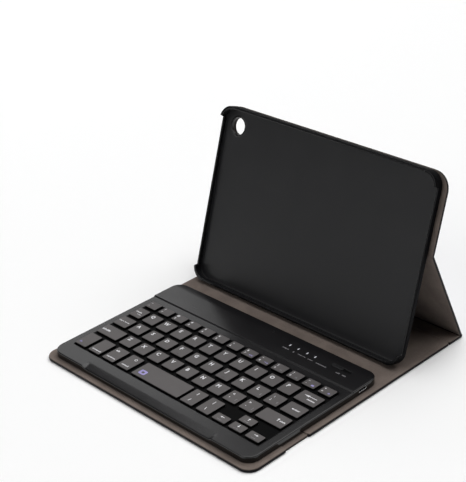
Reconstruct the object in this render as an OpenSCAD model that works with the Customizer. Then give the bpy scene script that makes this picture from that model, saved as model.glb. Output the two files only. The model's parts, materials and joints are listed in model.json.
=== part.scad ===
// Tablet keyboard case: a leather-covered folio standing open, with a lift-off keyboard.
// Millimetres, +Z up; the case rests on Z = 0, its width runs along X and the user sits at -Y.

/* [Folio] */
// Leather beyond the tray at each side
case_side = 1.9; // [1:0.1:4]
// Thickness of one finished panel
panel_t = 2.6; // [2.2:0.1:3.4]
// Thickness of the outer skin, and of the lining
skin_t = 0.6; // [0.4:0.05:0.8]
// Depth of the closure flap, front to back
flap_d = 33.8; // [26:0.2:40]
// Depth of the soft strip that bends round the closed case
strip_d = 20; // [14:0.2:24]
// Thickness of the soft strip
strip_t = 1.7; // [1.2:0.1:2.2]
// Depth of the front cover beyond the two back panels
cover_over = 7.065; // [6:0.005:10]
// Depth of the spine, up to the rear fold
spine_d = 11.4; // [9:0.2:16]
// Slit between two panels that fold against each other
fold_gap = 0.3; // [0.2:0.05:0.5]
// Margin around each stiffening board
board_inset = 4; // [3:0.1:6]
// Radius of the outer panel corners
corner_r = 9; // [5:0.5:14]
// Width of a heat-pressed line
press_w = 1.1; // [0.6:0.1:1.6]
// Depth of a heat-pressed line
press_d = 0.25; // [0.1:0.05:0.35]

/* [Stand] */
// Angle of the leg above the table
leg_angle = 113; // [100:1:120]
// Angle of the tablet above the table
tablet_angle = 71; // [60:1:80]
// Length of the leg, rear fold to crease
leg_l = 81.5; // [76:0.5:88]
// Leather beyond the top of the tray
back_side = 0; // [0:0.1:5]

/* [Tablet tray] */
// Width of the tablet that the tray holds
tablet_w = 203.2; // [195:0.1:215]
// Height of the tablet
tablet_h = 134.8; // [125:0.1:145]
// Thickness of the tablet
tablet_t = 6.1; // [5:0.1:8]
// Corner radius of the tablet
tablet_r = 9.5; // [5:0.5:14]
// Tray position across the case
tray_x = -1.4; // [-3:0.1:3]
// Thickness of the tray walls
tray_wall = 1.7; // [1.2:0.1:2.2]
// Thickness of the tray floor
tray_floor = 1.5; // [1.2:0.1:2]
// Thickness of the adhesive sheet behind the tray
glue_t = 0.3; // [0.2:0.05:0.5]
// Depth by which the side walls stop below the glass
side_cut = 2.9; // [1:0.1:4]
// Diameter of the camera hole
camera_hole = 13; // [8:0.5:18]
// Distance of the camera from the side of the tray, and from its top
camera_in = 15; // [12:0.5:20]
camera_down = 14.5; // [12:0.5:20]

/* [Keyboard] */
// Distance from the side of the case to the keyboard
kb_side = 4.65; // [2:0.05:8]
// Distance from the front edge of the case to the keyboard
kb_front = 4.6; // [3:0.1:8]
// Height of the rubber feet
foot_h = 0.4; // [0.3:0.05:0.8]
// Height of the keyboard body under the keys
kb_h = 4.65; // [4.2:0.05:6]
// Extra height of the rear hump
hump_h = 0.85; // [0.4:0.05:1.5]
// Depth of the rear hump
hump_d = 27; // [22:0.5:32]
// Corner radius of the keyboard
kb_r = 9; // [5:0.5:12]
// Height of the keycaps above the case
key_stand = 1.6; // [1.55:0.05:2.2]
// Travel of a key
key_travel = 1.5; // [1:0.05:1.55]
// Width of the thumb scoop at the front edge
scoop_w = 130; // [90:1:150]

/* [Hidden] */
$fn = 64;
board_t = panel_t - 2 * skin_t;
strip_in = 1.3;
joint_r = 1.5;
board_r = 8;
bead_fit = 0.05;
cut = 1;

tray_in_w = tablet_w + 0.4;
tray_in_h = tablet_h + 0.4;
tray_w = tray_in_w + 2 * tray_wall;
tray_h = tray_in_h + 2 * tray_wall;
tray_r = tablet_r + 0.2 + tray_wall;
tray_z = panel_t + glue_t;
tray_t = tray_floor + tablet_t;
tray_lip = 0.6;
tray_chamfer = 1.1;
rest_gap = 0.05;
fold_angle = leg_angle - tablet_angle;
crease_z = panel_t + leg_l * sin(leg_angle) - panel_t * cos(leg_angle);
tray_y0 = (panel_t + rest_gap - tray_z * cos(tablet_angle) - crease_z) / sin(tablet_angle);
camera_pos = [tray_x - tray_w / 2 + camera_in, tray_y0 + tray_h - camera_down];
glue_y0 = panel_t + 6;
glue_in = 8;
glue_y1 = tray_y0 + tray_h - 5;
glue_w = tray_w - 2 * glue_in;

case_w = tray_w + 2 * case_side;
half_w = case_w / 2;
back_l = tray_y0 + tray_h + back_side;
cover_d = leg_l + back_l + cover_over;
case_d = flap_d + strip_d + cover_d + spine_d + panel_t + fold_gap;
y_front = -case_d / 2;
y_flap = y_front + flap_d;
y_strip = y_flap + strip_d;
y_cover = y_strip + cover_d;
y_fold = case_d / 2 - panel_t;
kb_w = case_w - 2 * kb_side;

// Key rows from the front: [distance from the front of the keyboard, depth]
key_front = 15.45;
row_gap = 3.4;
number_gap = 3.75;
hump_gap = 7.3;
modifier_d = 16.6;
arrow_d = 7.3;
key_d = 12.1;
number_d = 8.4;
function above(row, gap, depth) = [row[0] + row[1] / 2 + gap + depth / 2, depth];
r5 = [key_front + modifier_d / 2, modifier_d];
r_down = [key_front + arrow_d / 2, arrow_d];
r_up = [key_front + modifier_d - arrow_d / 2, arrow_d];
r4 = above(r5, row_gap, key_d);
r3 = above(r4, row_gap, key_d);
r2 = above(r3, row_gap, key_d);
r1 = above(r2, number_gap, number_d);
kb_d = r1[0] + r1[1] / 2 + hump_gap + hump_d;
kb_y0 = y_front + kb_front;
kb_y1 = kb_y0 + kb_d;
kb_z0 = panel_t + foot_h;
kb_z1 = kb_z0 + kb_h;
hump_z = kb_z1 + hump_h;
kb_wall = 1.2;
kb_top = 1;
kb_bevel = 0.6;
plate_z = kb_z0 + 1;
plate_fit = 0.1;
front_rail = 4;
side_rail = 2;
rear_rail = 1.6;
hump_y = kb_y1 - hump_d;
hump_slope = 0.9;
scoop_d = 7;
scoop_h = 1.35;

cap_z1 = kb_z1 + key_stand;
cap_h = 2.65;
cap_top = 1;
cap_wall = 1.1;
cap_r = 0.9;
cap_fit = 0.35;
support_t = 0.3;
membrane_t = 0.25;
dome_z = plate_z + support_t + membrane_t;
dome_r = 1.9;
dome_h = cap_z1 - cap_top - key_travel - dome_z - 0.35;
link_t = 0.4;
link_in = 1.5;
link_reach = [10, 8];
link_w = 0.8;

magnet = [36, 5, 1];
magnet_x = 50;
magnet_front_y = kb_y0 + 8;
magnet_rear_y = hump_y + 0.6;

boss_r = 2;
screw_r = 0.7;
screw_head_r = 1.4;
screw_head_h = 0.6;
screw_in = 8.75;
screw_steps = [3.5, 2.5];
middle_screw = 45.5;
pcb = [72, 16.5, 0.8];
pcb_in = 4.25;
pcb_fit = 0.3;
pcb_xy = [kb_w / 2 - pcb_in - pcb[0] / 2, kb_y1 - 13.2];
battery_in = 10.75;
battery_gap = 18.5;
battery = [kb_w - battery_in - pcb[0] - pcb_in - battery_gap, 17, 2.5];
battery_xy = [battery_in + battery[0] / 2 - kb_w / 2, kb_y1 - 11.3];
screw_x = kb_w / 2 - screw_in;
screws_xy = [[-screw_x, kb_y0 + 7.5], [0, kb_y0 + 10], [screw_x, kb_y0 + 7.5],
             [-screw_x - screw_steps[0], kb_y1 - 5], [pcb_xy[0] - middle_screw, kb_y1 - 8],
             [screw_x + screw_steps[1], kb_y1 - 4.5]];
usb = [6, 7.6, 2.5];
usb_y = kb_y1 - 18;
led_in = [32.1, 24.1, 15.6, 8.1];
led_x = [for (d = led_in) pcb_xy[0] - d];
led_y = kb_y1 - 12;
led = [0.9, 2.2];
slot_x = pcb_xy[0] + 15.7;
slot_y = kb_y1 - 11.6;
slot = [17.6, 3.4];
slot_h = 0.7;
knob = [10, 2.5, 0.95];
knob_travel = 4;
knob_x = slot_x - slot[0] / 2 + 0.4 + knob[0] / 2;
stem = [2, 1, 1.7];

// Key columns: [centre x, width]; a run is a row of equal keys between wider keys, which
// reach from a margin at the keyboard's side to the gap beside the next key.
key_side = 7.25;
key_gap = 3.3;
modifier_gap = 3.6;
space_gaps = [3.95, 2.45];
number_w = 11.2;
tab_w = 11.25;
backspace_w = 18.45;
caps_w = 13.75;
shift_w = 21.75;
fn_w = 11.75;
arrow_w = 12.55;
key_x1 = kb_w / 2 - key_side;
pitch = (2 * key_x1 - tab_w - backspace_w - key_gap) / 10;
key_w = pitch - key_gap;
modifier_pitch = key_w + modifier_gap;
number_x = key_x1 - number_w / 2;
function run(x0, pitch, n, w) = [for (i = [0:n - 1]) [x0 + i * pitch, w]];
function after(end_w) = end_w + key_gap + key_w / 2 - key_x1;
function reach(a, b) = [[(a + b) / 2, b - a]];
function left_end(key) = reach(-key_x1, key[0] - key[1] / 2 - key_gap);
function right_end(key) = reach(key[0] + key[1] / 2 + key_gap, key_x1);
row1 = run(-number_x, number_x / 6, 13, number_w);
row2 = run(after(tab_w), pitch, 10, key_w);
row3 = run(after(caps_w), pitch, 10, key_w);
row4 = run(after(shift_w), pitch, 9, key_w);
modifiers = run(after(fn_w), modifier_pitch, 3, key_w);
arrows = run(-after(arrow_w) - pitch, pitch, 2, key_w);
slashes = run(arrows[0][0] - pitch - modifier_pitch, modifier_pitch, 2, key_w);
space = reach(modifiers[2][0] + key_w / 2 + space_gaps[0],
    slashes[0][0] - key_w / 2 - space_gaps[1]);
function part(row, a, b) = [for (i = [a:b]) row[i]];

// Each key node: [name, row, keys]
KEYS = [
    ["keys_number_left", r1, part(row1, 0, 4)],
    ["keys_number_middle", r1, part(row1, 5, 8)],
    ["keys_number_right", r1, part(row1, 9, 12)],
    ["key_tab", r2, left_end(row2[0])],
    ["keys_upper_left", r2, part(row2, 0, 4)],
    ["keys_upper_right", r2, part(row2, 5, 9)],
    ["key_backspace", r2, right_end(row2[9])],
    ["key_caps", r3, left_end(row3[0])],
    ["keys_home_left", r3, part(row3, 0, 4)],
    ["keys_home_right", r3, part(row3, 5, 9)],
    ["key_enter", r3, right_end(row3[9])],
    ["key_shift_left", r4, left_end(row4[0])],
    ["keys_lower_left", r4, part(row4, 0, 3)],
    ["keys_lower_right", r4, part(row4, 4, 8)],
    ["key_shift_right", r4, right_end(row4[8])],
    ["key_fn", r5, left_end(modifiers[0])],
    ["key_control", r5, part(modifiers, 0, 0)],
    ["key_option", r5, part(modifiers, 1, 1)],
    ["key_command", r5, part(modifiers, 2, 2)],
    ["key_space", r5, space],
    ["keys_slash", r5, slashes],
    ["key_left", r_down, part(arrows, 0, 0)],
    ["key_up", r_up, part(arrows, 1, 1)],
    ["key_down", r_down, part(arrows, 1, 1)],
    ["key_right", r_down, right_end(arrows[1])],
];
ALL_KEYS = [for (k = KEYS) for (c = k[2]) [c[0], kb_y0 + k[1][0], c[1], k[1][1]]];

navy = [0.30, 0.31, 0.42];
taupe = [0.27, 0.24, 0.22];
greyboard = [0.62, 0.60, 0.56];
black = [0.05, 0.05, 0.055];
keygrey = [0.14, 0.14, 0.145];
steel = [0.72, 0.73, 0.75];

// A flat shape centred on x, with one corner radius at its start and one at its end.
module outline(half, y0, y1, r0, r1) {
    translate([-half, y0 + r0]) square([2 * half, y1 - y0 - r0 - r1]);
    if (r0 > 0) {
        translate([-half + r0, y0]) square([2 * (half - r0), r0 + 0.01]);
        for (s = [-1, 1]) translate([s * (half - r0), y0 + r0]) circle(r0);
    }
    if (r1 > 0) {
        translate([-half + r1, y1 - r1 - 0.01]) square([2 * (half - r1), r1 + 0.01]);
        for (s = [-1, 1]) translate([s * (half - r1), y1 - r1]) circle(r1);
    }
}

module rounded(w, d, r) {
    outline(w / 2, -d / 2, d / 2, r, r);
}

// A pressed line that follows a board, as a shape to cut away.
module pressed_frame(half, y0, y1, r0, r1) {
    linear_extrude(press_d + cut) difference() {
        outline(half + press_w, y0 - press_w, y1 + press_w, r0 + press_w, r1 + press_w);
        outline(half, y0, y1, r0, r1);
    }
}

// The three layers of a panel that lies flat from y0 to y1, its outer face at z = 0.
// b0 and b1 are the ends of its board; r0, r1 its corner radii and q0, q1 the board's.
module layer_skin(y0, y1, r0, r1, b0, b1, q0, q1) {
    color(navy) difference() {
        linear_extrude(skin_t + board_t) outline(half_w, y0, y1, r0, r1);
        translate([0, 0, skin_t]) linear_extrude(board_t + cut)
            outline(half_w - board_inset, b0, b1, q0, q1);
        translate([0, 0, -cut]) pressed_frame(half_w - board_inset, b0, b1, q0, q1);
    }
}

module layer_board(b0, b1, q0, q1) {
    color(greyboard) translate([0, 0, skin_t]) linear_extrude(board_t)
        outline(half_w - board_inset, b0, b1, q0, q1);
}

module layer_lining(y0, y1, r0, r1, b0, b1, q0, q1) {
    color(taupe) difference() {
        translate([0, 0, panel_t - skin_t]) linear_extrude(skin_t)
            outline(half_w, y0, y1, r0, r1);
        translate([0, 0, panel_t - press_d])
            pressed_frame(half_w - board_inset, b0, b1, q0, q1);
    }
}

// Quarter round that closes the end of a panel, about an axis along x.
module bead(y, z, dir) {
    color(navy) intersection() {
        translate([-half_w, y, z]) rotate([0, 90, 0]) cylinder(r = panel_t, h = case_w);
        translate([-half_w, y, dir > 0 ? z : z - panel_t]) cube([case_w, panel_t, panel_t]);
    }
}

module bead_clearance(y, z) {
    translate([-half_w - cut, y, z]) rotate([0, 90, 0])
        cylinder(r = panel_t + bead_fit, h = case_w + 2 * cut);
}

// Front cover: the flat base that lies on the table.
c0 = y_strip + fold_gap / 2;
c1 = y_cover - fold_gap / 2;
cb0 = c0 + 1.6;
cb1 = c1 - 1.7;
module cover_skin() layer_skin(c0, c1, joint_r, joint_r, cb0, cb1, board_r, board_r);
module cover_board() difference() {
    layer_board(cb0, cb1, board_r, board_r);
    magnet_bars(magnet_rear_y, skin_t + board_t - magnet[2], plate_fit, cut);
}
module cover_lining() layer_lining(c0, c1, joint_r, joint_r, cb0, cb1, board_r, board_r);
module cover_magnets() magnet_bars(magnet_rear_y, skin_t + board_t - magnet[2], 0, 0);

// A pair of bar magnets, or with fit and extra height the pockets that take them.
module magnet_bars(y, z, fit, extra) {
    color(steel) for (s = [-1, 1])
        translate([s * magnet_x - magnet[0] / 2 - fit, y - magnet[1] / 2 - fit, z])
            cube([magnet[0] + 2 * fit, magnet[1] + 2 * fit, magnet[2] + extra]);
}

// Spine: joins the cover to the leg and ends in the rear fold.
s0 = y_cover + fold_gap / 2;
sb0 = s0 + 1.8;
sb1 = y_fold - 1.8;
spine_q = 1.2;
module spine_skin() union() {
    layer_skin(s0, y_fold, 0, 0, sb0, sb1, spine_q, spine_q);
    bead(y_fold, panel_t, -1);
}
module spine_board() layer_board(sb0, sb1, spine_q, spine_q);
module spine_lining() layer_lining(s0, y_fold, 0, 0, sb0, sb1, spine_q, spine_q);

// Leg: the lower back panel, from the rear fold up to the crease.
module on_leg() translate([0, y_fold, panel_t]) rotate([leg_angle, 0, 0])
    translate([0, 0, -panel_t]) children();
lb0 = 5;
lb1 = leg_l - 2.2;
leg_q = 3;
module leg_skin() on_leg() union() {
    difference() {
        layer_skin(0, leg_l, 0, 0, lb0, lb1, leg_q, leg_q);
        bead_clearance(0, panel_t);
    }
    bead(leg_l, 0, 1);
}
module leg_board() on_leg() layer_board(lb0, lb1, leg_q, leg_q);
module leg_lining() on_leg() difference() {
    layer_lining(0, leg_l, 0, 0, lb0, lb1, leg_q, leg_q);
    bead_clearance(0, panel_t);
}

// Upper back panel with the tablet tray bonded on its lining.
module on_back() on_leg() translate([0, leg_l, 0]) rotate([-fold_angle, 0, 0]) children();
bb0 = 6.8;
bb1 = back_l - board_inset;
back_r = 13;
module camera(r, z0, z1) {
    translate([camera_pos[0], camera_pos[1], z0]) cylinder(r = r, h = z1 - z0);
}
module back_skin() on_back() difference() {
    layer_skin(0, back_l, 0, back_r, bb0, bb1, leg_q, board_r);
    bead_clearance(0, 0);
    camera(camera_hole / 2, -cut, panel_t);
}
module back_board() on_back() difference() {
    layer_board(bb0, bb1, leg_q, board_r);
    camera(camera_hole / 2 + 1, 0, panel_t);
}
module back_lining() on_back() difference() {
    layer_lining(0, back_l, 0, back_r, bb0, bb1, leg_q, board_r);
    bead_clearance(0, 0);
    camera(camera_hole / 2, 0, panel_t + cut);
}
module tray_adhesive() on_back() color([0.85, 0.85, 0.8]) difference() {
    translate([tray_x, 0, panel_t]) linear_extrude(glue_t)
        outline(glue_w / 2, glue_y0, glue_y1, 4, 4);
    // The corner beside the camera is left free.
    r = camera_hole / 2 + 3;
    translate([camera_pos[0] - r - case_w, camera_pos[1] - r, panel_t - cut])
        cube([2 * r + case_w, back_l, glue_t + 2 * cut]);
}

// Tray: floor, rim and corner hooks, in its own frame with the floor's back at z = 0.
module tray_outline(inset) {
    outline(tray_w / 2 - inset, inset, tray_h - inset, tray_r - inset, tray_r - inset);
}
side_reach = tray_r - 2.4;
module side_opening() {
    // The side walls drop between the corner hooks, with sloped ends.
    slope = 1.2;
    rotate([90, 0, 90]) linear_extrude(tray_wall + 2 * cut) polygon([
        [side_reach + slope, tray_t - side_cut], [tray_h - side_reach - slope, tray_t - side_cut],
        [tray_h - side_reach, tray_t + tray_lip + cut], [side_reach, tray_t + tray_lip + cut]]);
}
module tray_bevels() {
    c = tray_chamfer;
    top = tray_t + tray_lip;
    intersection() {
        translate([-tray_w / 2 - cut, 0, 0]) rotate([90, 0, 90])
            linear_extrude(tray_w + 2 * cut) polygon([[c / 2, 0], [tray_h - c, 0],
                [tray_h, c], [tray_h, top], [0, top], [0, c / 2]]);
        translate([0, tray_h + cut, 0]) rotate([90, 0, 0]) linear_extrude(tray_h + 2 * cut)
            polygon([[-tray_w / 2 + c, 0], [tray_w / 2 - c, 0], [tray_w / 2, c],
                [tray_w / 2, top], [-tray_w / 2, top], [-tray_w / 2, c]]);
    }
}
module corner_hooks() {
    // Lips over the glass, only at the corners.
    lip_reach = tray_r + 1;
    difference() {
        translate([0, 0, tray_t]) linear_extrude(tray_lip) difference() {
            tray_outline(0);
            tray_outline(tray_wall + 0.5);
        }
        translate([-tray_w / 2 + lip_reach, -cut, tray_t - cut])
            cube([tray_w - 2 * lip_reach, tray_h + 2 * cut, tray_lip + 2 * cut]);
        translate([-tray_w / 2 - cut, lip_reach, tray_t - cut])
            cube([tray_w + 2 * cut, tray_h - 2 * lip_reach, tray_lip + 2 * cut]);
    }
}
module tablet_tray() on_back() color(black) difference() {
    translate([tray_x, tray_y0, tray_z]) union() {
        difference() {
            intersection() {
                linear_extrude(tray_t) tray_outline(0);
                tray_bevels();
            }
            translate([0, 0, tray_floor]) linear_extrude(tray_t) tray_outline(tray_wall);
            translate([-tray_w / 2 - cut, 0, 0]) side_opening();
            translate([tray_w / 2 - tray_wall - cut, 0, 0]) side_opening();
        }
        corner_hooks();
    }
    camera(camera_hole / 2, panel_t, tray_z + tray_floor + cut);
}

// Soft strip: skin and padded lining with no board, a little narrower than the panels.
t0 = y_flap + fold_gap / 2;
t1 = y_strip - fold_gap / 2;
module strip_skin() color(navy) linear_extrude(skin_t)
    outline(half_w - strip_in, t0, t1, 0, 0);
module strip_lining() color(taupe) translate([0, 0, skin_t]) linear_extrude(strip_t - skin_t)
    outline(half_w - strip_in, t0, t1, 0, 0);

// Closure flap under the front of the keyboard.
f1 = y_flap - fold_gap / 2;
fb0 = y_front + board_inset;
fb1 = f1 - 1.6;
flap_q = 5.5;
module flap_skin() layer_skin(y_front, f1, corner_r, joint_r, fb0, fb1, flap_q, joint_r);
module flap_board() difference() {
    layer_board(fb0, fb1, flap_q, joint_r);
    magnet_bars(magnet_front_y, skin_t + board_t - magnet[2], plate_fit, cut);
}
module flap_lining() layer_lining(y_front, f1, corner_r, joint_r, fb0, fb1, flap_q, joint_r);
module flap_magnets() magnet_bars(magnet_front_y, skin_t + board_t - magnet[2], 0, 0);

// Keyboard top case: profile along y, then the sides bevelled, then hollowed.
module kb_profile() {
    b = kb_bevel;
    rotate([90, 0, 90]) translate([0, 0, -kb_w / 2 - cut]) linear_extrude(kb_w + 2 * cut)
        polygon([[kb_y0, kb_z0], [kb_y0, kb_z1 - b], [kb_y0 + b, kb_z1],
            [hump_y - hump_slope / 2, kb_z1], [hump_y + hump_slope / 2, hump_z],
            [kb_y1 - 6.5, hump_z], [kb_y1 - b, hump_z - 0.5],
            [kb_y1, hump_z - 0.5 - b], [kb_y1, kb_z0]]);
}
module kb_block() intersection() {
    translate([0, 0, kb_z0]) linear_extrude(hump_z - kb_z0)
        outline(kb_w / 2, kb_y0, kb_y1, kb_r, kb_r);
    kb_profile();
}
module kb_side_bevels() {
    // Thin wedges off the long top edges, one height for the keys and one for the hump.
    for (s = [-1, 1], p = [[kb_y0 - cut, hump_y, kb_z1], [hump_y, kb_y1 + cut, hump_z]])
        translate([s * kb_w / 2, p[0], p[2]]) rotate([0, 45, 0])
            translate([-kb_bevel / sqrt(2), 0, -kb_bevel / sqrt(2)])
                cube([kb_bevel * sqrt(2), p[1] - p[0], kb_bevel * sqrt(2)]);
}
module scoop() {
    // Two shallow wedges: the thumb scoop and its softened ends.
    for (k = [[scoop_w, scoop_h], [scoop_w + 5, scoop_h * 0.55]])
        translate([-k[0] / 2, 0, 0]) rotate([90, 0, 90]) linear_extrude(k[0])
            polygon([[kb_y0 - cut, kb_z1 - k[1] * (1 + cut / scoop_d)], [kb_y0 + scoop_d, kb_z1],
                [kb_y0 + scoop_d, kb_z1 + cut], [kb_y0 - cut, kb_z1 + cut]]);
}
module kb_cavity() {
    x = kb_w / 2 - side_rail;
    y0 = kb_y0 + front_rail;
    y1 = kb_y1 - rear_rail;
    translate([0, 0, plate_z - cut]) linear_extrude(kb_z1 - kb_top - plate_z + cut)
        outline(x, y0, y1, 4, 6);
    translate([0, 0, plate_z - cut]) linear_extrude(hump_z - kb_top - plate_z + cut)
        outline(x, hump_y + 1.5, y1 - 4.5, 0, 3);
}
module keyboard_top() color(black) difference() {
    union() {
        difference() {
            kb_block();
            kb_side_bevels();
            scoop();
            kb_cavity();
            translate([0, 0, kb_z0 - cut]) linear_extrude(plate_z - kb_z0 + cut)
                outline(kb_w / 2 - kb_wall, kb_y0 + kb_wall, kb_y1 - kb_wall,
                    kb_r - kb_wall, kb_r - kb_wall);
        }
        for (p = screws_xy) translate([p[0], p[1], plate_z])
            cylinder(r = boss_r, h = kb_z1 - kb_top / 2 - plate_z);
    }
    for (k = ALL_KEYS) translate([k[0], k[1], kb_z1 - kb_top - cut])
        linear_extrude(kb_top + 2 * cut)
            rounded(k[2] + 2 * cap_fit, k[3] + 2 * cap_fit, cap_r + cap_fit);
    for (p = screws_xy) translate([p[0], p[1], plate_z - cut])
        cylinder(r = screw_r, h = 2.2 + cut);
    for (x = led_x) translate([x, led_y, hump_z - kb_top - cut])
        linear_extrude(kb_top + 2 * cut) square(led + [0.1, 0.1], center = true);
    translate([slot_x, slot_y, hump_z - slot_h]) linear_extrude(slot_h + cut)
        rounded(slot[0], slot[1], slot[1] / 2 - 0.1);
    translate([knob_x + knob_travel / 2, slot_y, hump_z - kb_top - cut])
        linear_extrude(kb_top + cut) square([stem[0] + knob_travel + 0.8, stem[1] + 0.6],
            center = true);
    translate([kb_w / 2 - side_rail - cut, usb_y - usb[1] / 2 - 0.1, plate_z + pcb[2] - 0.1])
        cube([side_rail + 2 * cut, usb[1] + 0.2, usb[2] + 0.2]);
}
module keyboard_base() color([0.08, 0.08, 0.085]) difference() {
    translate([0, 0, kb_z0]) linear_extrude(plate_z - kb_z0)
        outline(kb_w / 2 - kb_wall - plate_fit, kb_y0 + kb_wall + plate_fit,
            kb_y1 - kb_wall - plate_fit, kb_r - kb_wall - plate_fit, kb_r - kb_wall - plate_fit);
    for (p = screws_xy) {
        translate([p[0], p[1], kb_z0 - cut]) cylinder(r = screw_r + 0.1, h = 3);
        translate([p[0], p[1], kb_z0 - cut])
            cylinder(r = screw_head_r + 0.1, h = screw_head_h + cut);
    }
}
module key_area(z, t) {
    // Sheet under every key, clear of the screw bosses.
    y0 = kb_y0 + r5[0] - r5[1] / 2 - 1;
    y1 = kb_y0 + r1[0] + r1[1] / 2 + 1.5;
    translate([0, 0, z]) linear_extrude(t) outline(kb_w / 2 - side_rail - 1.5, y0, y1, 2, 2);
}
module key_support() color(steel) key_area(plate_z, support_t);
module key_membrane() color([0.75, 0.78, 0.72]) key_area(plate_z + support_t, membrane_t);
module key_domes() color([0.8, 0.8, 0.82]) for (k = ALL_KEYS)
    translate([k[0], k[1], dome_z]) cylinder(r1 = dome_r, r2 = dome_r * 0.7, h = dome_h);
module key_links() color([0.85, 0.85, 0.85]) for (k = ALL_KEYS) {
    w = min(k[2] - link_in, link_reach[0]);
    d = min(k[3] - link_in, link_reach[1]);
    translate([k[0], k[1], dome_z]) linear_extrude(link_t) difference() {
        square([w, d], center = true);
        square([w - 2 * link_w, d - 2 * link_w], center = true);
    }
}
module controller_board() color([0.1, 0.3, 0.18]) {
    difference() {
        translate([pcb_xy[0] - pcb[0] / 2, pcb_xy[1] - pcb[1] / 2, plate_z]) cube(pcb);
        for (p = screws_xy) translate([p[0], p[1], plate_z - cut])
            cylinder(r = boss_r + pcb_fit, h = pcb[2] + 2 * cut);
    }
    for (c = [[-30.5, -7.5, 9, 6.5, 1], [-12.5, -6.5, 5, 5, 0.9], [5.5, -5, 6, 3, 1.1]])
        translate([pcb_xy[0] + c[0], pcb_xy[1] + c[1], plate_z + pcb[2]])
            cube([c[2], c[3], c[4]]);
    for (x = led_x) translate([x - 0.8, led_y - 0.8, plate_z + pcb[2]]) cube([1.6, 1.6, 0.6]);
}
module battery_cell() color([0.6, 0.62, 0.66])
    translate([battery_xy[0], battery_xy[1], plate_z]) linear_extrude(battery[2])
        rounded(battery[0], battery[1], 1);
module usb_socket() color(steel) difference() {
    translate([kb_w / 2 - usb[0] - 0.3, usb_y - usb[1] / 2, plate_z + pcb[2]]) cube(usb);
    translate([kb_w / 2 - usb[0] + 1, usb_y - usb[1] / 2 + 0.4, plate_z + pcb[2] + 0.4])
        cube([usb[0], usb[1] - 0.8, usb[2] - 0.8]);
}
module status_lights() color([0.9, 0.9, 0.92]) for (x = led_x)
    translate([x, led_y, plate_z + pcb[2] + 0.7])
        linear_extrude(hump_z - plate_z - pcb[2] - 0.7) square(led, center = true);
module keyboard_magnets() {
    magnet_bars(magnet_front_y, plate_z, 0, 0);
    magnet_bars(magnet_rear_y, plate_z, 0, 0);
}
module case_screws() color(steel) for (p = screws_xy) translate([p[0], p[1], kb_z0]) {
    cylinder(r = screw_head_r, h = screw_head_h);
    cylinder(r = screw_r - 0.02, h = plate_z - kb_z0 + 2);
}
feet_y = [kb_y0 + 9, kb_y1 - 8];
module rubber_feet() color([0.12, 0.12, 0.12]) for (s = [-1, 1], y = feet_y)
    translate([s * (kb_w / 2 - 15), y, panel_t]) cylinder(r = 4, h = foot_h);
module power_slider() color([0.1, 0.1, 0.1]) translate([knob_x, slot_y, 0]) {
    translate([0, 0, hump_z - slot_h + 0.05]) linear_extrude(knob[2])
        rounded(knob[0], knob[1], 0.8);
    translate([-stem[0] / 2, -stem[1] / 2, hump_z - slot_h - stem[2]])
        cube([stem[0], stem[1], stem[2] + 0.2]);
}

// One keycap: a hollow cap with its top face at the key height.
module keycap(k) translate([k[0], k[1], cap_z1 - cap_h]) difference() {
    linear_extrude(cap_h) rounded(k[2], k[3], cap_r);
    translate([0, 0, -cut]) linear_extrude(cap_h - cap_top + cut)
        rounded(k[2] - 2 * cap_wall, k[3] - 2 * cap_wall, 0.4);
}
homing = [row3[3], row3[6]];
module homing_bump(name) {
    // A short ridge on the two keys where the index fingers rest.
    x = name == "keys_home_left" ? homing[0][0] : homing[1][0];
    translate([x - 1.5, kb_y0 + r3[0] - 4.2, cap_z1 - 0.01]) cube([3, 0.6, 0.25]);
}
module key_node(name) color(keygrey) for (k = KEYS) if (k[0] == name) {
    for (c = k[2]) keycap([c[0], kb_y0 + k[1][0], c[1], k[1][1]]);
    if (name == "keys_home_left" || name == "keys_home_right") homing_bump(name);
}

cover_skin();
cover_board();
cover_lining();
cover_magnets();
spine_skin();
spine_board();
spine_lining();
leg_skin();
leg_board();
leg_lining();
back_skin();
back_board();
back_lining();
tray_adhesive();
tablet_tray();
strip_skin();
strip_lining();
flap_skin();
flap_board();
flap_lining();
flap_magnets();
keyboard_top();
keyboard_base();
key_support();
key_membrane();
key_domes();
key_links();
controller_board();
battery_cell();
usb_socket();
status_lights();
keyboard_magnets();
case_screws();
rubber_feet();
power_slider();
key_node("keys_number_left");  // keys_number_left
key_node("keys_number_middle");  // keys_number_middle
key_node("keys_number_right");  // keys_number_right
key_node("key_tab");  // key_tab
key_node("keys_upper_left");  // keys_upper_left
key_node("keys_upper_right");  // keys_upper_right
key_node("key_backspace");  // key_backspace
key_node("key_caps");  // key_caps
key_node("keys_home_left");  // keys_home_left
key_node("keys_home_right");  // keys_home_right
key_node("key_enter");  // key_enter
key_node("key_shift_left");  // key_shift_left
key_node("keys_lower_left");  // keys_lower_left
key_node("keys_lower_right");  // keys_lower_right
key_node("key_shift_right");  // key_shift_right
key_node("key_fn");  // key_fn
key_node("key_control");  // key_control
key_node("key_option");  // key_option
key_node("key_command");  // key_command
key_node("key_space");  // key_space
key_node("keys_slash");  // keys_slash
key_node("key_left");  // key_left
key_node("key_up");  // key_up
key_node("key_down");  // key_down
key_node("key_right");  // key_right
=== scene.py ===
"""Leather tablet case standing open as an easel, with its snap-in tray and slim keyboard.

The folio is drawn flat, from its front edge backwards, and each panel is then folded up by its own
placement. All sizes are in millimetres until a mesh is made; x runs across the case, y from the
user towards the stand and z up from the table.
"""

from __future__ import annotations

import json
import logging
import math
from collections.abc import Callable, Sequence
from dataclasses import dataclass, field
from enum import Enum

import bmesh
import bpy
import numpy as np
from mathutils import Matrix, Vector
from mathutils.geometry import delaunay_2d_cdt


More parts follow.
